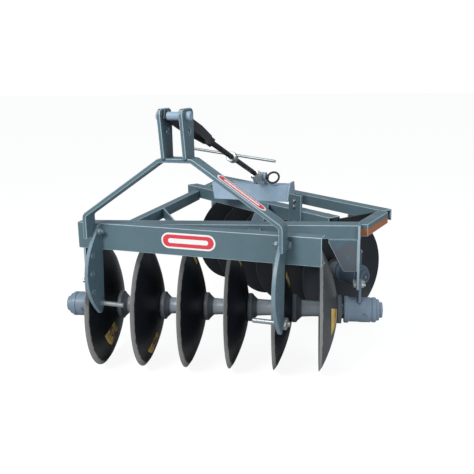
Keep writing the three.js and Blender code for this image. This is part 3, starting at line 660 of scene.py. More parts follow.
# the front gang's right hanger takes the darker slate: painted shade
frameFinish = {"right_side_member": "slateOverPrimer", "front_gang_hanger_right": "slatePaintedShadeSpotted"}
skins = {}
for node, width in edgeWidths.items():
    paint = finish[frameFinish.get(node, "slatePaint")]
    # the edges take the lighter edge paint: partly worn paint, partly painted highlight
    worn = finish["slateHitchWearAndPaintedHighlight" if node.startswith("hitch_plate") else "slateEdgeWearAndPaintedHighlight"]
    skins[node] = softCopy(node, paint, width, worn)
# the hitch plates' forward-facing faces take the lighter hitch edge paint: painted highlight
for node in ("hitch_plate_left", "hitch_plate_right"):
    markFaces(skins[node].data, lambda middle, normal: normal[:, 1] < -0.45)


hangerHighlightPlace = {"ahead": 0.057, "within": 0.002, "below": 0.74}


def isHangerHighlightFace(middle, normal):
    # the hanger's front edge, ahead of the shaft, from its foot to just over the beam's top; it takes the
    # lighter edge paint as a painted highlight
    across, rim = gangs["front_gang"]["across"], gangs["front_gang"]["rim"]
    atFront = np.abs((middle - rim) @ across + hangerHighlightPlace["ahead"]) < hangerHighlightPlace["within"]
    return (normal @ across < -0.9) & (middle[:, 2] < hangerHighlightPlace["below"]) & atFront


# the front gang's hangers take the lighter edge paint on their front edges: painted highlight
for node in ("front_gang_hanger_left", "front_gang_hanger_right"):
    markFaces(skins[node].data, isHangerHighlightFace)
# the brace panel takes the lighter panel paint: painted sky light
softCopy("brace_panel", finish["panelPaintedSkyLight"], 0.002, finish["slateEdgeWearAndPaintedHighlight"])
softCopy("rear_strap", finish["blackSteel"], 0.0015)
softCopy("brace_yoke", finish["blackSteel"], 0.0022)
print("frame members ready")

# ---- discs
discShape = {
    "radius": 0.305,
    "depth": 0.085,
    "crown": 0.42,
    "thickness": 0.006,
    "edge": 0.0015,
    "hub": 0.072,
    "bevelStart": 0.283,
    "bore": 0.0163,
    "spacing": 0.218,
    "count": 6,
    "sides": 120,
    "rings": 26,
}


def dishAt(radius, side):
    # distance of the hollow face from the rim: full depth on the flat hub, then falling away to the rim
    share = np.clip((radius - discShape["hub"]) / (discShape["radius"] - discShape["hub"]), 0, 1)
    crown = discShape["crown"]
    return side * (
        discShape["depth"] - discShape["thickness"]
    ) * (1 - share * (crown + (1 - crown) * share))


def discProfile(side):
    # the hollow face from bore to rim, then the back, which is the same curve
    # moved out by a wall that is ground thin at the rim
    d = discShape
    bend = np.linspace(d["hub"], d["bevelStart"], d["rings"])
    radius = np.concatenate([[d["bore"], d["hub"] - 0.006], bend, [0.294, d["radius"]]])
    hollow = dishAt(radius, side)
    ground = np.clip((radius - d["bevelStart"]) / (d["radius"] - d["bevelStart"]), 0, 1)
    wall = d["thickness"] - (d["thickness"] - d["edge"]) * ground
    back = hollow + side * wall
    front = np.stack([hollow, radius], -1)
    rear = np.stack([back, radius], -1)[::-1]
    return np.concatenate([front, rear])


def markBack(mesh, origin, axis, side):
    # 1 on the bulging face and the rim, 0 on the hollow face, for the ground band to follow
    points = np.empty(len(mesh.vertices) * 3)
    mesh.vertices.foreach_get("co", points)
    offset = points.reshape(-1, 3) - origin
    along = offset @ axis
    radius = np.linalg.norm(offset - along[:, None] * axis, axis=1)
    lift = (along - dishAt(radius, side)) * side
    mark = mesh.attributes.new("backFace", "FLOAT", "POINT")
    mark.data.foreach_set("value", (lift > discShape["edge"] * 0.5).astype(np.float32))


sides = {"front_gang": 1, "rear_gang": -1}
for gang, side in sides.items():
    rim = gangs[gang]["rim"]
    profile = discProfile(side)
    for i in range(discShape["count"]):
        number = discShape["count"] - i
        origin = rim - gangs[gang]["along"] * discShape["spacing"] * i
        points, faces = turnedParts(
            profile, origin, gangs[gang]["along"], discShape["sides"], closed=True
        )
        mesh = finishMesh("%s_disc_%d_skin" % (gang, number), points, faces, 22)
        markBack(mesh, origin, gangs[gang]["along"], side)
        # the end disc takes the lighter grey: partly bare worn steel, partly painted sheen
        worn = "end_disc_wear_and_sheen" if gang == "front_gang" and number == 6 else gang
        addPiece(mesh.name, mesh, discFinish[worn], gang, ["%s_disc_%d" % (gang, number)])
print("discs ready")

# ---- gang shafts with cast spools, and their bearing housings
gangShape = {
    "bolt": 0.0155,
    "tube": 0.042,
    "waist": 0.0385,
    "wide": 0.070,
    "wideWidth": 0.022,
    "cone": 0.026,
    "narrow": 0.054,
    "narrowWidth": 0.011,
    "journal": 0.025,
    "seat": 0.0003,
    "housing": 0.061,
    "collar": 0.066,
    "collarWidth": 0.022,
    "length": 0.155,
    "setoff": 0.034,
    "endWall": 0.012,
    "gap": 0.006,
    "nose": [(0.052, 0.014), (0.038, 0.016)],
    "casting": [(0.070, 0.0015), (0.074, 0), (0.128, 0), (0.1295, 0.0035), (0.1345, 0.0035), (0.136, 0)],
    "hanger": {"front_gang": 0.056, "rear_gang": 0.089},
    "lugGap": 0.0123,
    "lugThick": 0.012,
    "lug": (0.045, 0.150, 0.042, 0.014),
}


def spoolParts(start, end, startWide, endWide, origin, axis):
    # one cast spool between two discs: flange, cone, slightly waisted barrel, cone, flange
    g = gangShape
    profile = [(start, g["bolt"])]

    def flange(x, out, isWide):
        full, run = (g["wide"], g["wideWidth"]) if isWide else (g["narrow"], g["narrowWidth"])
        if isWide:
            steps = [
                (0, full - 0.004), (0.004, full), (run, full), (run + 0.006, full - 0.009),
                (run + g["cone"], g["tube"])
            ]
        else:
            steps = [
                (0, full - 0.002), (0.002, full), (run, full), (run + 0.004, g["tube"] + 0.003),
                (run + 0.012, g["tube"])
            ]
        return [(x + out * reach, radius) for reach, radius in steps]

    left = flange(start, 1, startWide)
    right = flange(end, -1, endWide)[::-1]
    t = np.array([0.2, 0.4, 0.6, 0.8])
    barrel = left[-1][0] * (1 - t) + right[0][0] * t
    middle = np.stack([barrel, g["tube"] - (g["tube"] - g["waist"]) * np.sin(np.pi * t)], -1)
    profile += left + list(middle) + right + [(end, g["bolt"])]
    return turnedParts(rounded(profile, 0.003, 2), origin, axis, 64, closed=True)


def barParts(x0, x1, radius, origin, axis, sides=40, chamfer=0.0015):
    # a round bar from x0 to x1 along the axis, both ends chamfered
    profile = [(x0, 0), (x0, radius - chamfer), (x0 + chamfer, radius)]
    profile += [(x1 - chamfer, radius), (x1, radius - chamfer), (x1, 0)]
    return turnedParts(profile, origin, axis, sides)


def hexParts(centre, axis, across, height):
    # a hexagon head: a six-sided turning of a profile whose outer corners are taken down to a cone
    profile = [(0, 0), (0, 0.97), (0.08, 1), (0.88, 1), (1, 0.86), (1.02, 0.5), (1.02, 0)]
    return turnedParts(np.array(profile) * (height, across / math.sqrt(3)), centre, axis, 6)


def boltParts(centre, axis, size, stud=0.0, washer=True):
    # washer, hexagon head or nut, and a stud end when there is one
    centre, axis = np.asarray(centre, float), np.asarray(axis, float) / np.linalg.norm(axis)
    thick = size * 0.16 if washer else 0
    parts = []
    if washer:
        ring = [(0, 0), (0, size * 1.08), (thick * 0.7, size * 1.1), (thick, size * 1.02), (thick, 0)]
        parts.append(turnedParts(ring, centre, axis, 28))
    parts.append(hexParts(centre + axis * thick, axis, size * 1.62, size * 0.78))
    if stud:
        turns = np.linspace(0, stud, max(6, int(stud / 0.0009)))
        radius = size * 0.5 - 0.0006 * (np.arange(len(turns)) % 2)
        end = [(stud, size * 0.36), (stud + 0.001, 0)]
        profile = np.concatenate([[(0, 0)], np.stack([turns, radius], -1), end])
        parts.append(turnedParts(profile, centre + axis * (thick + size * 0.76), axis, 20))
    return parts


def addBolts(name, bolts, material="boltSteel"):
    parts = [part for bolt in bolts for part in boltParts(**bolt)]
    addPiece(name, finishMesh(name, *combine(parts), 28), finish[material], "frame")


housingPlaces = {}
for gang, side in sides.items():
    g = gangShape
    origin, axis = gangs[gang]["rim"], gangs[gang]["along"]
    span = discShape["spacing"] * (discShape["count"] - 1)
    right = discShape["depth"] + g["setoff"] if side > 0 else 0.0
    left = -span if side > 0 else -span - discShape["depth"] - g["setoff"]
    depth = g["length"] - g["endWall"] - g["gap"]
    faces = []  # the two faces of each disc at its hub, left to right
    for i in range(discShape["count"] - 1, -1, -1):
        back = -i * discShape["spacing"] + side * discShape["depth"]
        hollow = back - side * discShape["thickness"]
        faces.append((min(back, hollow) - g["seat"], max(back, hollow) + g["seat"]))
    parts = []
    for (_, start), (end, _) in zip(faces, faces[1:]):
        parts.append(spoolParts(start, end, side > 0, side < 0, origin, axis))
    # the end pieces: a long hub inside the hollow disc and a short one behind the other end disc
    outer = left + g["gap"] if side > 0 else right - g["gap"]
    inner = faces[0][0] if side > 0 else faces[-1][1]
    step = inner - side * g["narrowWidth"]
    hollowHub = [(outer, g["journal"]), (outer, g["tube"]), (step, g["tube"])]
    hollowHub += [(step, g["narrow"]), (inner, g["narrow"]), (inner, g["bolt"])]
    back = faces[-1][1] if side > 0 else faces[0][0]
    far = back + side * g["wideWidth"]
    backHub = [(back, g["bolt"]), (back, g["wide"] - 0.003), (back + side * 0.003, g["wide"])]
    backHub += [(far, g["wide"]), (far, g["journal"])]
    parts.append(turnedParts(hollowHub, origin, axis, 64, closed=True))
    parts.append(turnedParts(backHub, origin, axis, 64, closed=True))
    parts.append(barParts(left - depth, right + depth, g["journal"] - 0.0002, origin, axis))
    mesh = finishMesh(gang + "_spools", *combine(parts), 30)
    addPiece(
        mesh.name, mesh, [finish["spoolPaint"], finish["flangePaint"]], gang,
        [gang + "_shaft"]
    )
    markFaces(mesh, lambda middle, normal: radiusOf(middle, origin, axis) > gangShape["tube"] + 0.002)

    for sideName, start, out in (("right", right, 1), ("left", left, -1)):
        at = lambda d: start + out * d
        bore, blind = g["journal"] + 0.0008, g["length"] - g["endWall"]
        collar, width, body, reach = g["collar"], g["collarWidth"], g["housing"], g["length"]
        profile = [(at(0.004), bore), (at(0), bore + 0.004), (at(0), collar - 0.003), (at(0.003), collar)]
        profile += [
            (at(width - 0.003), collar), (at(width), collar - 0.003), (at(width + 0.003), body - 0.001)
        ]
        profile += [(at(d), body - cut) for d, cut in g["casting"]]
        profile += [(at(reach - 0.004), body), (at(reach), body - 0.004)]
        for radius, width in g["nose"]:
            profile += [
                (at(reach), radius), (at(reach + width - 0.003), radius),
                (at(reach + width), radius - 0.003)
            ]
            reach += width
        profile += [(at(reach), 0.022), (at(reach - 0.004), 0.020), (at(reach - 0.004), 0)]
        points = [(at(blind), 0), (at(blind), bore)] + profile
        housingParts = [turnedParts(points, origin, axis, 72)]
        hanger = start + out * g["hanger"][gang]
        lugNear = hanger + out * g["lugGap"]
        lugFar = lugNear + out * g["lugThick"]
        # the lug: an upright plate whose top corners are cut, its foot sunk in the casting
        foot, top, half, cut = g["lug"]
        outline = np.array([(half, foot), (half, top - cut), (half - cut, top)])
        outline = np.concatenate([[(-half, foot)], outline, outline[:0:-1] * (-1, 1)])
        path = [origin + axis * lugNear, origin + axis * lugFar]
        housingParts.append(sweptParts(outline * (-1, 1), path, (0, 0, 1)))
        mesh = finishMesh("%s_housing_%s_skin" % (gang, sideName), *combine(housingParts), 28)
        # the rear gang's housings take the darker copy of the housing paint: painted shade
        cast = finish["housingPaint" if gang == "front_gang" else "housingPaintedShade"]
        addPiece(mesh.name, mesh, cast, "frame", ["%s_housing_%s" % (gang, sideName)])
        place = {"start": start, "out": out, "hanger": hanger, "lug": lugFar, "end": at(reach)}
        housingPlaces[gang, sideName] = place
print("gangs and housings ready")

# ---- round pins, the brace rod and its fittings
pinShape = {
    "radius": 0.011,
    "inner": 0.316,
    "plate": (0.434, 0.452),
    "collar": 0.017,
    "collarWidth": 0.009,
    "y": -0.033,
    "z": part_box("lower_link_pin_left")[0].z + 0.017,
    "left": {"washer": 0.0168, "nut": 0.029, "height": 0.0072},
    "right": {"washer": 0.027, "nut": 0.046, "height": 0.020, "end": 0.034},
}
for sideName, out in (("left", -1), ("right", 1)):
    p, nut = pinShape, pinShape[sideName]
    centre = atHitch(0, p["y"], p["z"])
    axis = np.array([out, 0, 0.0])
    tip, inner, outer, radius = p["inner"], p["plate"][0] - 0.0003, p["plate"][1] + 0.0003, p["radius"]
    seat = inner - p["collarWidth"]
    body = [(tip, 0), (tip, radius - 0.003), (tip + 0.004, radius), (seat, radius), (seat, p["collar"])]
    body += [(inner, p["collar"]), (inner, radius), (outer + 0.013, radius)]
    body += [(outer + 0.0137, radius - 0.0015), (outer + 0.0137, 0)]
    washer = [(outer, 0), (outer, nut["washer"]), (outer + 0.002, nut["washer"]), (outer + 0.002, 0)]
    parts = [turnedParts(body, centre, axis, 40), turnedParts(washer, centre, axis, 36)]
    parts.append(hexParts(centre + axis * (outer + 0.002), axis, nut["nut"], nut["height"]))
    if "end" in nut:
        parts.append(barParts(outer + nut["height"], outer + nut["end"], radius, centre, axis, 32))
    name = "lower_link_pin_" + sideName
    mesh = finishMesh(name + "_skin", *combine(parts), 28)
    addPiece(mesh.name, mesh, finish["galvanised"], "frame", [name])

topLow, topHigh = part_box("top_pin")
topPinCentre = (np.array(topLow) + np.array(topHigh)) / 2
eyeLow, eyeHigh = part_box("brace_eye")
eyeCentre = np.array([topPinCentre[0], atHitch(0, 1.051, 0)[1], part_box("brace_panel")[1].z - 0.030])
braceLine = eyeCentre - topPinCentre
braceLength = float(np.linalg.norm(braceLine))
braceAxis = braceLine / braceLength
braceUp = np.cross([1.0, 0, 0], braceAxis)

crossX = np.array([1.0, 0, 0])
topParts = [barParts(-0.058, 0.058, 0.013, topPinCentre, crossX, 48)]
for out in (-1, 1):
    boss = [
        (0.0583, 0), (0.0583, 0.019), (0.0753, 0.019), (0.0783, 0.016), (0.0783, 0.008),
        (0.0765, 0.006), (0.0765, 0)
    ]
    topParts.append(turnedParts(boss, topPinCentre, crossX * out, 40))
sleeve = [(-0.0415, 0.0132), (-0.0415, 0.0165), (-0.0400, 0.0175)]
sleeve += [(0.0400, 0.0175), (0.0415, 0.0165), (0.0415, 0.0132)]
topParts.append(turnedParts(sleeve, topPinCentre, crossX, 48, closed=True))
# the top pin shares the brace panel's lighter paint, which carries painted sky light
addSkin("top_pin", topParts, 28, finish["panelPaintedSkyLight"], "frame")

rodShape = {
    "radius": 0.0138, "start": 0.388, "thread": 0.16, "pitch": 0.005, "collarAt": 0.722,
    "collar": 0.027, "collarLength": 0.040, "lift": 0.014, "tilt": 7.0, "tommy": 0.007,
    "tommyHalf": 0.235
}


def threadParts(x0, x1, radius, depth, pitch, origin, axis, sides=24):
    # radius falls and rises with a triangle wave of (distance / pitch - angle / turn),
    # which winds as one helix
    axis, side, up = crossFrame(axis)
    rows = int((x1 - x0) / pitch * 6) + 1
    x = np.linspace(x0, x1, rows)[:, None]
    angle = (np.arange(sides) * 2 * math.pi / sides)[None]
    wave = np.abs(((x - x0) / pitch - angle / (2 * math.pi)) % 1.0 - 0.5) * 2
    r = radius - depth * wave
    around = np.cos(angle)[..., None] * side + np.sin(angle)[..., None] * up
    points = np.asarray(origin) + x[..., None] * axis + r[..., None] * around
    return points.reshape(-1, 3), gridFaces(rows, sides) + endCaps(rows, sides)


r = rodShape
shankStart = braceLength - 0.031 * 0.8 - 0.062
rodEnd = shankStart + 0.0257
rodParts = [
    threadParts(
        r["start"] + 0.0003, r["start"] + r["thread"], r["radius"], 0.0013, r["pitch"], topPinCentre,
        braceAxis
    ),
    barParts(r["start"] + r["thread"], rodEnd - 0.11, r["radius"] - 0.0004, topPinCentre, braceAxis),
    threadParts(rodEnd - 0.11, rodEnd, r["radius"], 0.0013, r["pitch"], topPinCentre, braceAxis),
]
half = r["collarLength"] / 2
collar = [
    (-half, 0.014), (-half, r["collar"] - 0.003), (-half + 0.003, r["collar"]),
    (half - 0.003, r["collar"]), (half, r["collar"] - 0.003), (half, 0.014)
]
rodParts.append(
    turnedParts(np.array(collar) + (r["collarAt"], 0), topPinCentre, braceAxis, 48, closed=True)
)
lock = [
    (-0.009, 0.0142), (-0.009, 0.024), (-0.007, 0.0255), (0.007, 0.0255), (0.009, 0.024),
    (0.009, 0.0142)
]
mesh = addSkin(
    "brace_rod", rodParts, 30, [finish["blackSteel"], finish["galvanised"]], "frame"
)
markFaces(mesh, lambda middle, normal: radiusOf(middle, topPinCentre, braceAxis) > 0.0155)
lockParts = turnedParts(np.array(lock) + (shankStart - 0.012, 0), topPinCentre, braceAxis, 6, closed=True)
mesh = finishMesh("brace_lock_nut", *lockParts, 28)
addPiece(mesh.name, mesh, finish["zincSteel"], "frame")

tilt = math.radians(r["tilt"])
tommyAxis = crossX * math.cos(tilt) - braceUp * math.sin(tilt)
tommyCentre = topPinCentre + braceAxis * r["collarAt"] + braceUp * r["lift"]
tommyParts = [barParts(-r["tommyHalf"], r["tommyHalf"], r["tommy"], tommyCentre, tommyAxis, 28, 0.002)]
addSkin("tommy_bar", tommyParts, 28, finish["galvanised"], "frame")

barrel = [
    (-0.022, 0.0107), (-0.022, 0.027), (-0.018, 0.031), (0.018, 0.031), (0.022, 0.027), (0.022, 0.0107)
]
eyeParts = [turnedParts(rounded(barrel, 0.004, 3), eyeCentre, crossX, 56, closed=True)]
shank = [
    (shankStart, 0.0146), (shankStart, 0.022), (shankStart + 0.003, 0.025), (shankStart + 0.050, 0.025),
    (braceLength - 0.022, 0.022), (braceLength - 0.022, 0.0), (shankStart + 0.026, 0.0),
    (shankStart + 0.026, 0.0146)
]
eyeParts.append(turnedParts(shank, topPinCentre, braceAxis, 48, closed=True))
addSkin("brace_eye", eyeParts, 28, finish["zincSteel"], "frame")

hoopShape = {"radius": 0.034, "wire": 0.006, "offset": 0.080, "tilt": 35.0, "pin": 0.010, "reach": 0.052}
h = hoopShape
ringCentre = eyeCentre + crossX * h["offset"]
lean = math.radians(h["tilt"])
ringUp = np.array([0, math.sin(lean), math.cos(lean)])
turn = np.linspace(0, 2 * math.pi, 48, endpoint=False)
wire = np.linspace(0, 2 * math.pi, 14, endpoint=False)
outward = np.cos(turn)[:, None] * crossX + np.sin(turn)[:, None] * ringUp
ringNormal = np.cross(crossX, ringUp)
hoopRadius = h["radius"] + h["wire"] * np.cos(wire)[None, :, None]
hoop = ringCentre + hoopRadius * outward[:, None] + h["wire"] * np.sin(wire)[None, :, None] * ringNormal
pinParts = barParts(-h["reach"], h["reach"], h["pin"], eyeCentre, crossX, 32)
hoopParts = [(hoop.reshape(-1, 3), gridFaces(48, 14, wrapRows=True)), pinParts]
addSkin("brace_pin", hoopParts, 30, finish["blackSteel"], "frame")
print("pins and brace ready")

# ---- bolts
bolts = []
hitchShape = {"plateIn": 0.434, "footOut": 0.4706, "bolts": [(-0.024, 0.741, 0.017)]}
for out in (-1, 1):
    for y, z, size in hitchShape["bolts"]:
        bolts.append(
            dict(centre=atHitch(out * hitchShape["footOut"], y, z), axis=crossX * out, size=size)
        )
        bolts.append(
            dict(
                centre=atHitch(out * hitchShape["plateIn"], y, z), axis=-crossX * out, size=size,
                stud=0.012
            )
        )
addBolts("hitch_plate_bolts", bolts, material="boltPainted")

lugBoltHeight = 0.438
highlightBolts, plainBolts = [], []
for (gang, sideName), place in housingPlaces.items():
    axis = gangs[gang]["along"]
    out = place["out"]
    stud = 0.002 if (gang, sideName) == ("front_gang", "left") else 0.008
    # the front gang's right housing bolts take the lighter zinc steel instead of plain steel: painted
    # highlight on bolts that sit in shade
    bolts = highlightBolts if (gang, sideName) == ("front_gang", "right") else plainBolts
    for across in (-0.026, 0.022):
        head, tail = (atGang(gang, place[face], across, lugBoltHeight) for face in ("hanger", "lug"))
        bolts.append(dict(centre=head, axis=-axis * out, size=0.013))
        bolts.append(dict(centre=tail, axis=axis * out, size=0.013, stud=stud))
addBolts("hanger_bolts", plainBolts)
addBolts("hanger_bolts_painted_highlight", highlightBolts, material="zincSteel")

clampFront = -0.392 - 0.012 - 0.0003
bolts = []
for z in (0.773, 0.743, 0.656):
    bolts.append(
        dict(
            centre=atGang("rear_gang", 0.045, clampFront, z), axis=-gangs["rear_gang"]["across"],
            size=0.0125
        )
    )
addBolts("clamp_plate_bolts", bolts)

# grease nipples on the housings and one bolt head in the middle of each nose cap
nippleShape = {"along": 0.098, "out": 0.0605, "drop": 0.004, "capSink": 0.0042, "capBolt": 0.010}
nipples = []
for (gang, sideName), place in housingPlaces.items():
    axis = gangs[gang]["along"]
    facing = -gangs[gang]["across"] if gang == "front_gang" else gangs[gang]["across"]
    n = nippleShape
    along = axis * (place["start"] + place["out"] * n["along"])
    spot = gangs[gang]["rim"] + along + facing * n["out"] - np.array([0, 0, n["drop"]])
    profile = [(0, 0), (0, 0.0065), (0.005, 0.0065), (0.005, 0.0035), (0.011, 0.003)]
    profile += [(0.013, 0.0042), (0.015, 0.003), (0.0155, 0)]
    nipples.append(turnedParts(profile, spot, facing, 20))
    capCentre = gangs[gang]["rim"] + axis * (place["end"] - place["out"] * n["capSink"])
    nipples.extend(boltParts(capCentre, axis * place["out"], n["capBolt"], washer=False))
mesh = finishMesh("housing_fittings", *combine(nipples), 28)
addPiece(mesh.name, mesh, finish["boltSteel"], "frame")
print("bolts ready")


# ---- weld beads
def beadParts(start, end, radius=0.0042, pitch=0.007, sides=8):
    # a run of small overlapping scales: the bead's radius rises and falls along its length
    start, end = np.asarray(start, float), np.asarray(end, float)
    length = np.linalg.norm(end - start)
    rows = max(6, int(length / pitch * 4))
    t = np.linspace(0, 1, rows)
    path = start + (end - start) * t[:, None]
    swell = 1 + 0.16 * np.abs(np.sin(np.pi * t * length / pitch)) - 0.5 * (np.abs(2 * t - 1) ** 14)
    _, side, up = crossFrame(end - start)
    angle = np.arange(sides) * 2 * math.pi / sides
    ring = np.cos(angle)[:, None] * side + np.sin(angle)[:, None] * up
    points = path[:, None] + (radius * swell)[:, None, None] * ring[None]
    return points.reshape(-1, 3), gridFaces(rows, sides) + endCaps(rows, sides)


beads = []
mastFoot, shaftHeight, housingRadius = 1.0963, discShape["radius"], 0.061
for sideX in (-1, 1):
    for x in (0.0418, 0.0582):
        beads.append(
            beadParts(atHitch(sideX * x, -0.092, mastFoot), atHitch(sideX * x, -0.014, mastFoot))
        )
    beads.append(
        beadParts(atHitch(sideX * 0.042, -0.0985, mastFoot), atHitch(sideX * 0.058, -0.0985, mastFoot))
    )
    for x in (0.4338, 0.4522):
        beads.append(beadParts(atHitch(sideX * x, -0.0012, 0.655), atHitch(sideX * x, -0.0012, 0.768)))
for gang, side in sides.items():
    beamBottom = 0.669 if gang == "front_gang" else 0.661
    for sideName in ("left", "right"):
        place = housingPlaces[gang, sideName]
        for face in (place["hanger"], place["hanger"] + place["out"] * 0.012):
            beads.append(
                beadParts(atGang(gang, face, -0.04, beamBottom), atGang(gang, face, 0.036, beamBottom))
            )
            if gang == "front_gang":
                beads.append(
                    beadParts(atGang(gang, face, -0.0455, 0.675), atGang(gang, face, -0.0455, 0.732))
                )
        for across in (-0.042, 0.042):
            lug = place["lug"] - place["out"] * 0.006
            up = shaftHeight + math.sqrt(housingRadius**2 - across**2)
            near, far = (atGang(gang, lug + step, across, up) for step in (-0.006, 0.006))
            beads.append(beadParts(near, far, 0.0035))
        for face in (-0.0062, 0.0062):
            lug = place["lug"] - place["out"] * 0.006 + face
            steps = [
                (y, shaftHeight + math.sqrt(0.0612**2 - y * y)) for y in np.linspace(-0.040, 0.040, 7)
            ]
            arc = [atGang(gang, lug, y, up) for y, up in steps]
            beads.extend(beadParts(a, b, 0.0036) for a, b in zip(arc, arc[1:]))
for x in (-0.038, -0.026, 0.026, 0.038):
    beads.append(beadParts(atHitch(x, 1.063, 0.807), atHitch(x, 1.080, 0.807), 0.0032))
for along in (0.279, 0.291):
    for across in (-0.3165, -0.0585):
        low, high = (atGang("rear_gang", along, across, up) for up in (0.667, 0.699))
        beads.append(beadParts(low, high, 0.0035))
mesh = finishMesh("weld_beads", *combine(beads), 60)
addPiece(mesh.name, mesh, finish["weldPaint"], "frame")
print("welds ready")


# ---- bare label places: plain rounded plates with a pale border and no lettering
def labelParts(centre, right, up, length, height, lift):
    # a flat pill: half circles of the half height at both ends of a straight stretch
    centre, right, up = (np.asarray(v, float) for v in (centre, right, up))
    normal = np.cross(right, up)
    half, straight = height / 2, (length - height) / 2
    a = np.linspace(-math.pi / 2, math.pi / 2, 15)
    rightEnd = np.stack([straight + half * np.cos(a), half * np.sin(a)], -1)
    outline = np.concatenate([rightEnd, -rightEnd])
    low = centre + outline[:, 0, None] * right + outline[:, 1, None] * up
    points = np.concatenate([low, low + normal * lift])
    return points, gridFaces(2, len(outline)) + endCaps(2, len(outline))


def addLabel(name, centre, right, up, length, height):
    layers = [
        ("_border", "labelWhite", length, height, 0.0008),
        ("_field", "labelRed", length - 0.016, height - 0.016, 0.0013),
        ("_bar", "labelWhite", length * 0.74, height * 0.3, 0.0018),
    ]
    for part, paint, long, high, lift in layers:
        mesh = finishMesh(name + part, *labelParts(centre, right, up, long, high, lift))
        addPiece(mesh.name, mesh, finish[paint], "frame")


addLabel("toolbar_label", atHitch(0.008, -0.0001, 0.717), (1, 0, 0), (0, 0, 1), 0.262, 0.072)
# the A-frame's right leg runs from the top bar's end down to its lower bend
# and the label lies along its outer face
legTop, legFoot = np.array([0.078, -0.053, 1.096]), np.array([0.4706, -0.053, 0.832])
legRun = (legFoot - legTop) / np.linalg.norm(legFoot - legTop)
legOut = np.array([-legRun[2], 0, legRun[0]])
addLabel(
    "leg_label", atHitch(*(legTop + legRun * 0.247 + legOut * 0.0001)), legRun, (0, 1, 0), 0.250, 0.056
)
print("labels ready")


# ---- stickers on the discs
def patchParts(gang, index, radii, turns, lift, rows=8, columns=10):
    # a thin sheet on a disc's bulging back: radius and turn run evenly,
    # and the disc's own curve gives the height
    side = sides[gang]
    g = gangs[gang]
    origin = g["rim"] - g["along"] * discShape["spacing"] * index
    radius = np.linspace(*radii, rows)[:, None]
    turn = np.radians(np.linspace(*turns, columns))[None]
    height = dishAt(radius, side) + side * (discShape["thickness"] + lift)
    around = np.cos(turn)[..., None] * g["across"] + np.sin(turn)[..., None] * np.array([0, 0, 1.0])
    points = origin + height[..., None] * g["along"] + radius[..., None] * around
    return points.reshape(-1, 3), gridFaces(rows, columns, wrapColumns=False)


stickers = [
    ("front_gang", 5, (0.112, 0.205), (-150, -112)),
    ("front_gang", 4, (0.138, 0.240), (-130, -103)),
    ("front_gang", 3, (0.215, 0.272), (78, 89)),
    ("front_gang", 2, (0.205, 0.268), (76, 88)),
    ("front_gang", 1, (0.122, 0.190), (92, 110)),
    ("front_gang", 0, (0.092, 0.196), (160, 200)),
]
stripes = [
    ("front_gang", 5, (0.140, 0.178), (-150, -112)),
    ("front_gang", 4, (0.166, 0.212), (-130, -103)),
    ("front_gang", 1, (0.142, 0.164), (92, 110)),
    ("front_gang", 0, (0.124, 0.142), (160, 200)),
]
sheetKinds = [
    ("disc_stickers", stickers, "stickerYellow", 0.0012, 0.0006),
    ("disc_sticker_stripes", stripes, "stickerBrown", 0.0021, 0.0005),
]
for name, patches, paint, lift, thickness in sheetKinds:
    mesh = finishMesh(name, *combine([patchParts(*patch, lift) for patch in patches]), 40)
    sheet = addPiece(name, mesh, finish[paint], "front_gang")
    sheet.modifiers.new("paper", "SOLIDIFY").thickness = thickness
print("stickers ready")


# ---- floor, light and camera
def lightNode(tree, kind, colour, strength):
    node = tree.nodes.new(kind)
    node.inputs["Color"].default_value = (*colour, 1)
    node.inputs["Strength"].default_value = strength
    return node


def splitByCamera(tree, output, elsewhere, seen, share=1.0):
    # the camera sees the second shader, by its share, and every other ray meets the first
    rays = tree.nodes.new("ShaderNodeLightPath")
    mix = tree.nodes.new("ShaderNodeMixShader")
    tree.links.new(mathNode(tree, "MULTIPLY", rays.outputs["Is Camera Ray"], share), mix.inputs[0])
    tree.links.new(elsewhere.outputs[0], mix.inputs[1])
    tree.links.new(seen.outputs[0], mix.inputs[2])
    tree.links.new(mix.outputs[0], output.inputs["Surface"])


floorShape = {"half": 40.0, "glow": 1.27, "glowShare": 0.72, "grey": 0.55}
half = floorShape["half"]
floorMesh = bpy.data.meshes.new("floor")
corners = [(x * half, y * half, -0.0005) for x, y in ((-1, -1), (1, -1), (1, 1), (-1, 1))]
floorMesh.from_pydata(corners, [], [(0, 1, 2, 3)])
floor = bpy.data.objects.new("floor", floorMesh)
bpy.context.scene.collection.objects.link(floor)
material, tree, shader = newMaterial("studioFloor")
shader.inputs["Base Color"].default_value = (floorShape["grey"],) * 3 + (1,)
shader.inputs["Roughness"].default_value = 0.9
shader.inputs["Specular IOR Level"].default_value = 0.1
glow = lightNode(tree, "ShaderNodeEmission", (1, 1, 1), floorShape["glow"])
output = next(n for n in tree.nodes if n.type == "OUTPUT_MATERIAL")
splitByCamera(tree, output, shader, glow, floorShape["glowShare"])
floorMesh.materials.append(material)

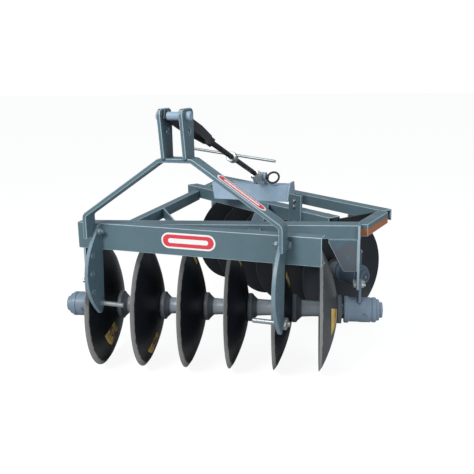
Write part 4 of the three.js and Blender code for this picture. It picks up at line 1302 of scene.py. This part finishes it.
world = bpy.data.worlds.new("studioWorld")
bpy.context.scene.world = world
world.use_nodes = True
tree = world.node_tree
tree.nodes.clear()
soft = lightNode(tree, "ShaderNodeBackground", (0.86, 0.93, 1.0), 0.38)
white = lightNode(tree, "ShaderNodeBackground", (1, 1, 1), 1.05)
splitByCamera(tree, tree.nodes.new("ShaderNodeOutputWorld"), soft, white)


def addArea(name, place, target, size, power, colour=(1, 1, 1)):
    light = bpy.data.lights.new(name, "AREA")
    light.shape = "DISK"
    light.size = size
    light.energy = power
    light.color = colour
    lamp = bpy.data.objects.new(name, light)
    lamp.location = place
    lamp.rotation_euler = (Vector(target) - Vector(place)).to_track_quat("-Z", "Y").to_euler()
    bpy.context.scene.collection.objects.link(lamp)


addArea("keyLight", (-1.2, -5.2, 4.2), (0, 0, 0.5), 2.0, 300, (1.0, 0.985, 0.96))
addArea("skyLight", (0.6, 0.8, 5.4), (0, 0.1, 0.6), 4.0, 45, (0.88, 0.95, 1.0))
addArea("rightFill", (4.2, -2.2, 2.4), (0.2, -0.3, 0.6), 2.0, 55, (0.95, 0.98, 1.0))

cameraShape = {
    "place": atHitch(1.21724, -2.64492, 1.44337),
    "yaw": 0.363034,
    "pitch": 0.239486,
    "roll": -0.019494,
    "lens": 51.2433418,
    "sensor": 36.0,
    "shiftX": 0.01247257,
}
c = cameraShape
level = math.cos(c["pitch"])
lookAt = np.array([-math.sin(c["yaw"]) * level, math.cos(c["yaw"]) * level, -math.sin(c["pitch"])])
levelRight = np.array([math.cos(c["yaw"]), math.sin(c["yaw"]), 0.0])
levelUp = np.cross(levelRight, lookAt)
right = math.cos(c["roll"]) * levelRight + math.sin(c["roll"]) * levelUp
up = -math.sin(c["roll"]) * levelRight + math.cos(c["roll"]) * levelUp
camera = bpy.data.objects.new("camera", bpy.data.cameras.new("camera"))
bpy.context.scene.collection.objects.link(camera)
turn = Matrix((right, up, -lookAt)).transposed()
camera.matrix_world = Matrix.Translation(Vector(c["place"])) @ turn.to_4x4()
camera.data.sensor_width = c["sensor"]
camera.data.lens = c["lens"]
camera.data.shift_x = c["shiftX"]
camera.data.clip_end = 200.0
bpy.context.scene.camera = camera
bpy.context.scene.view_settings.view_transform = "Standard"
print("stage ready")
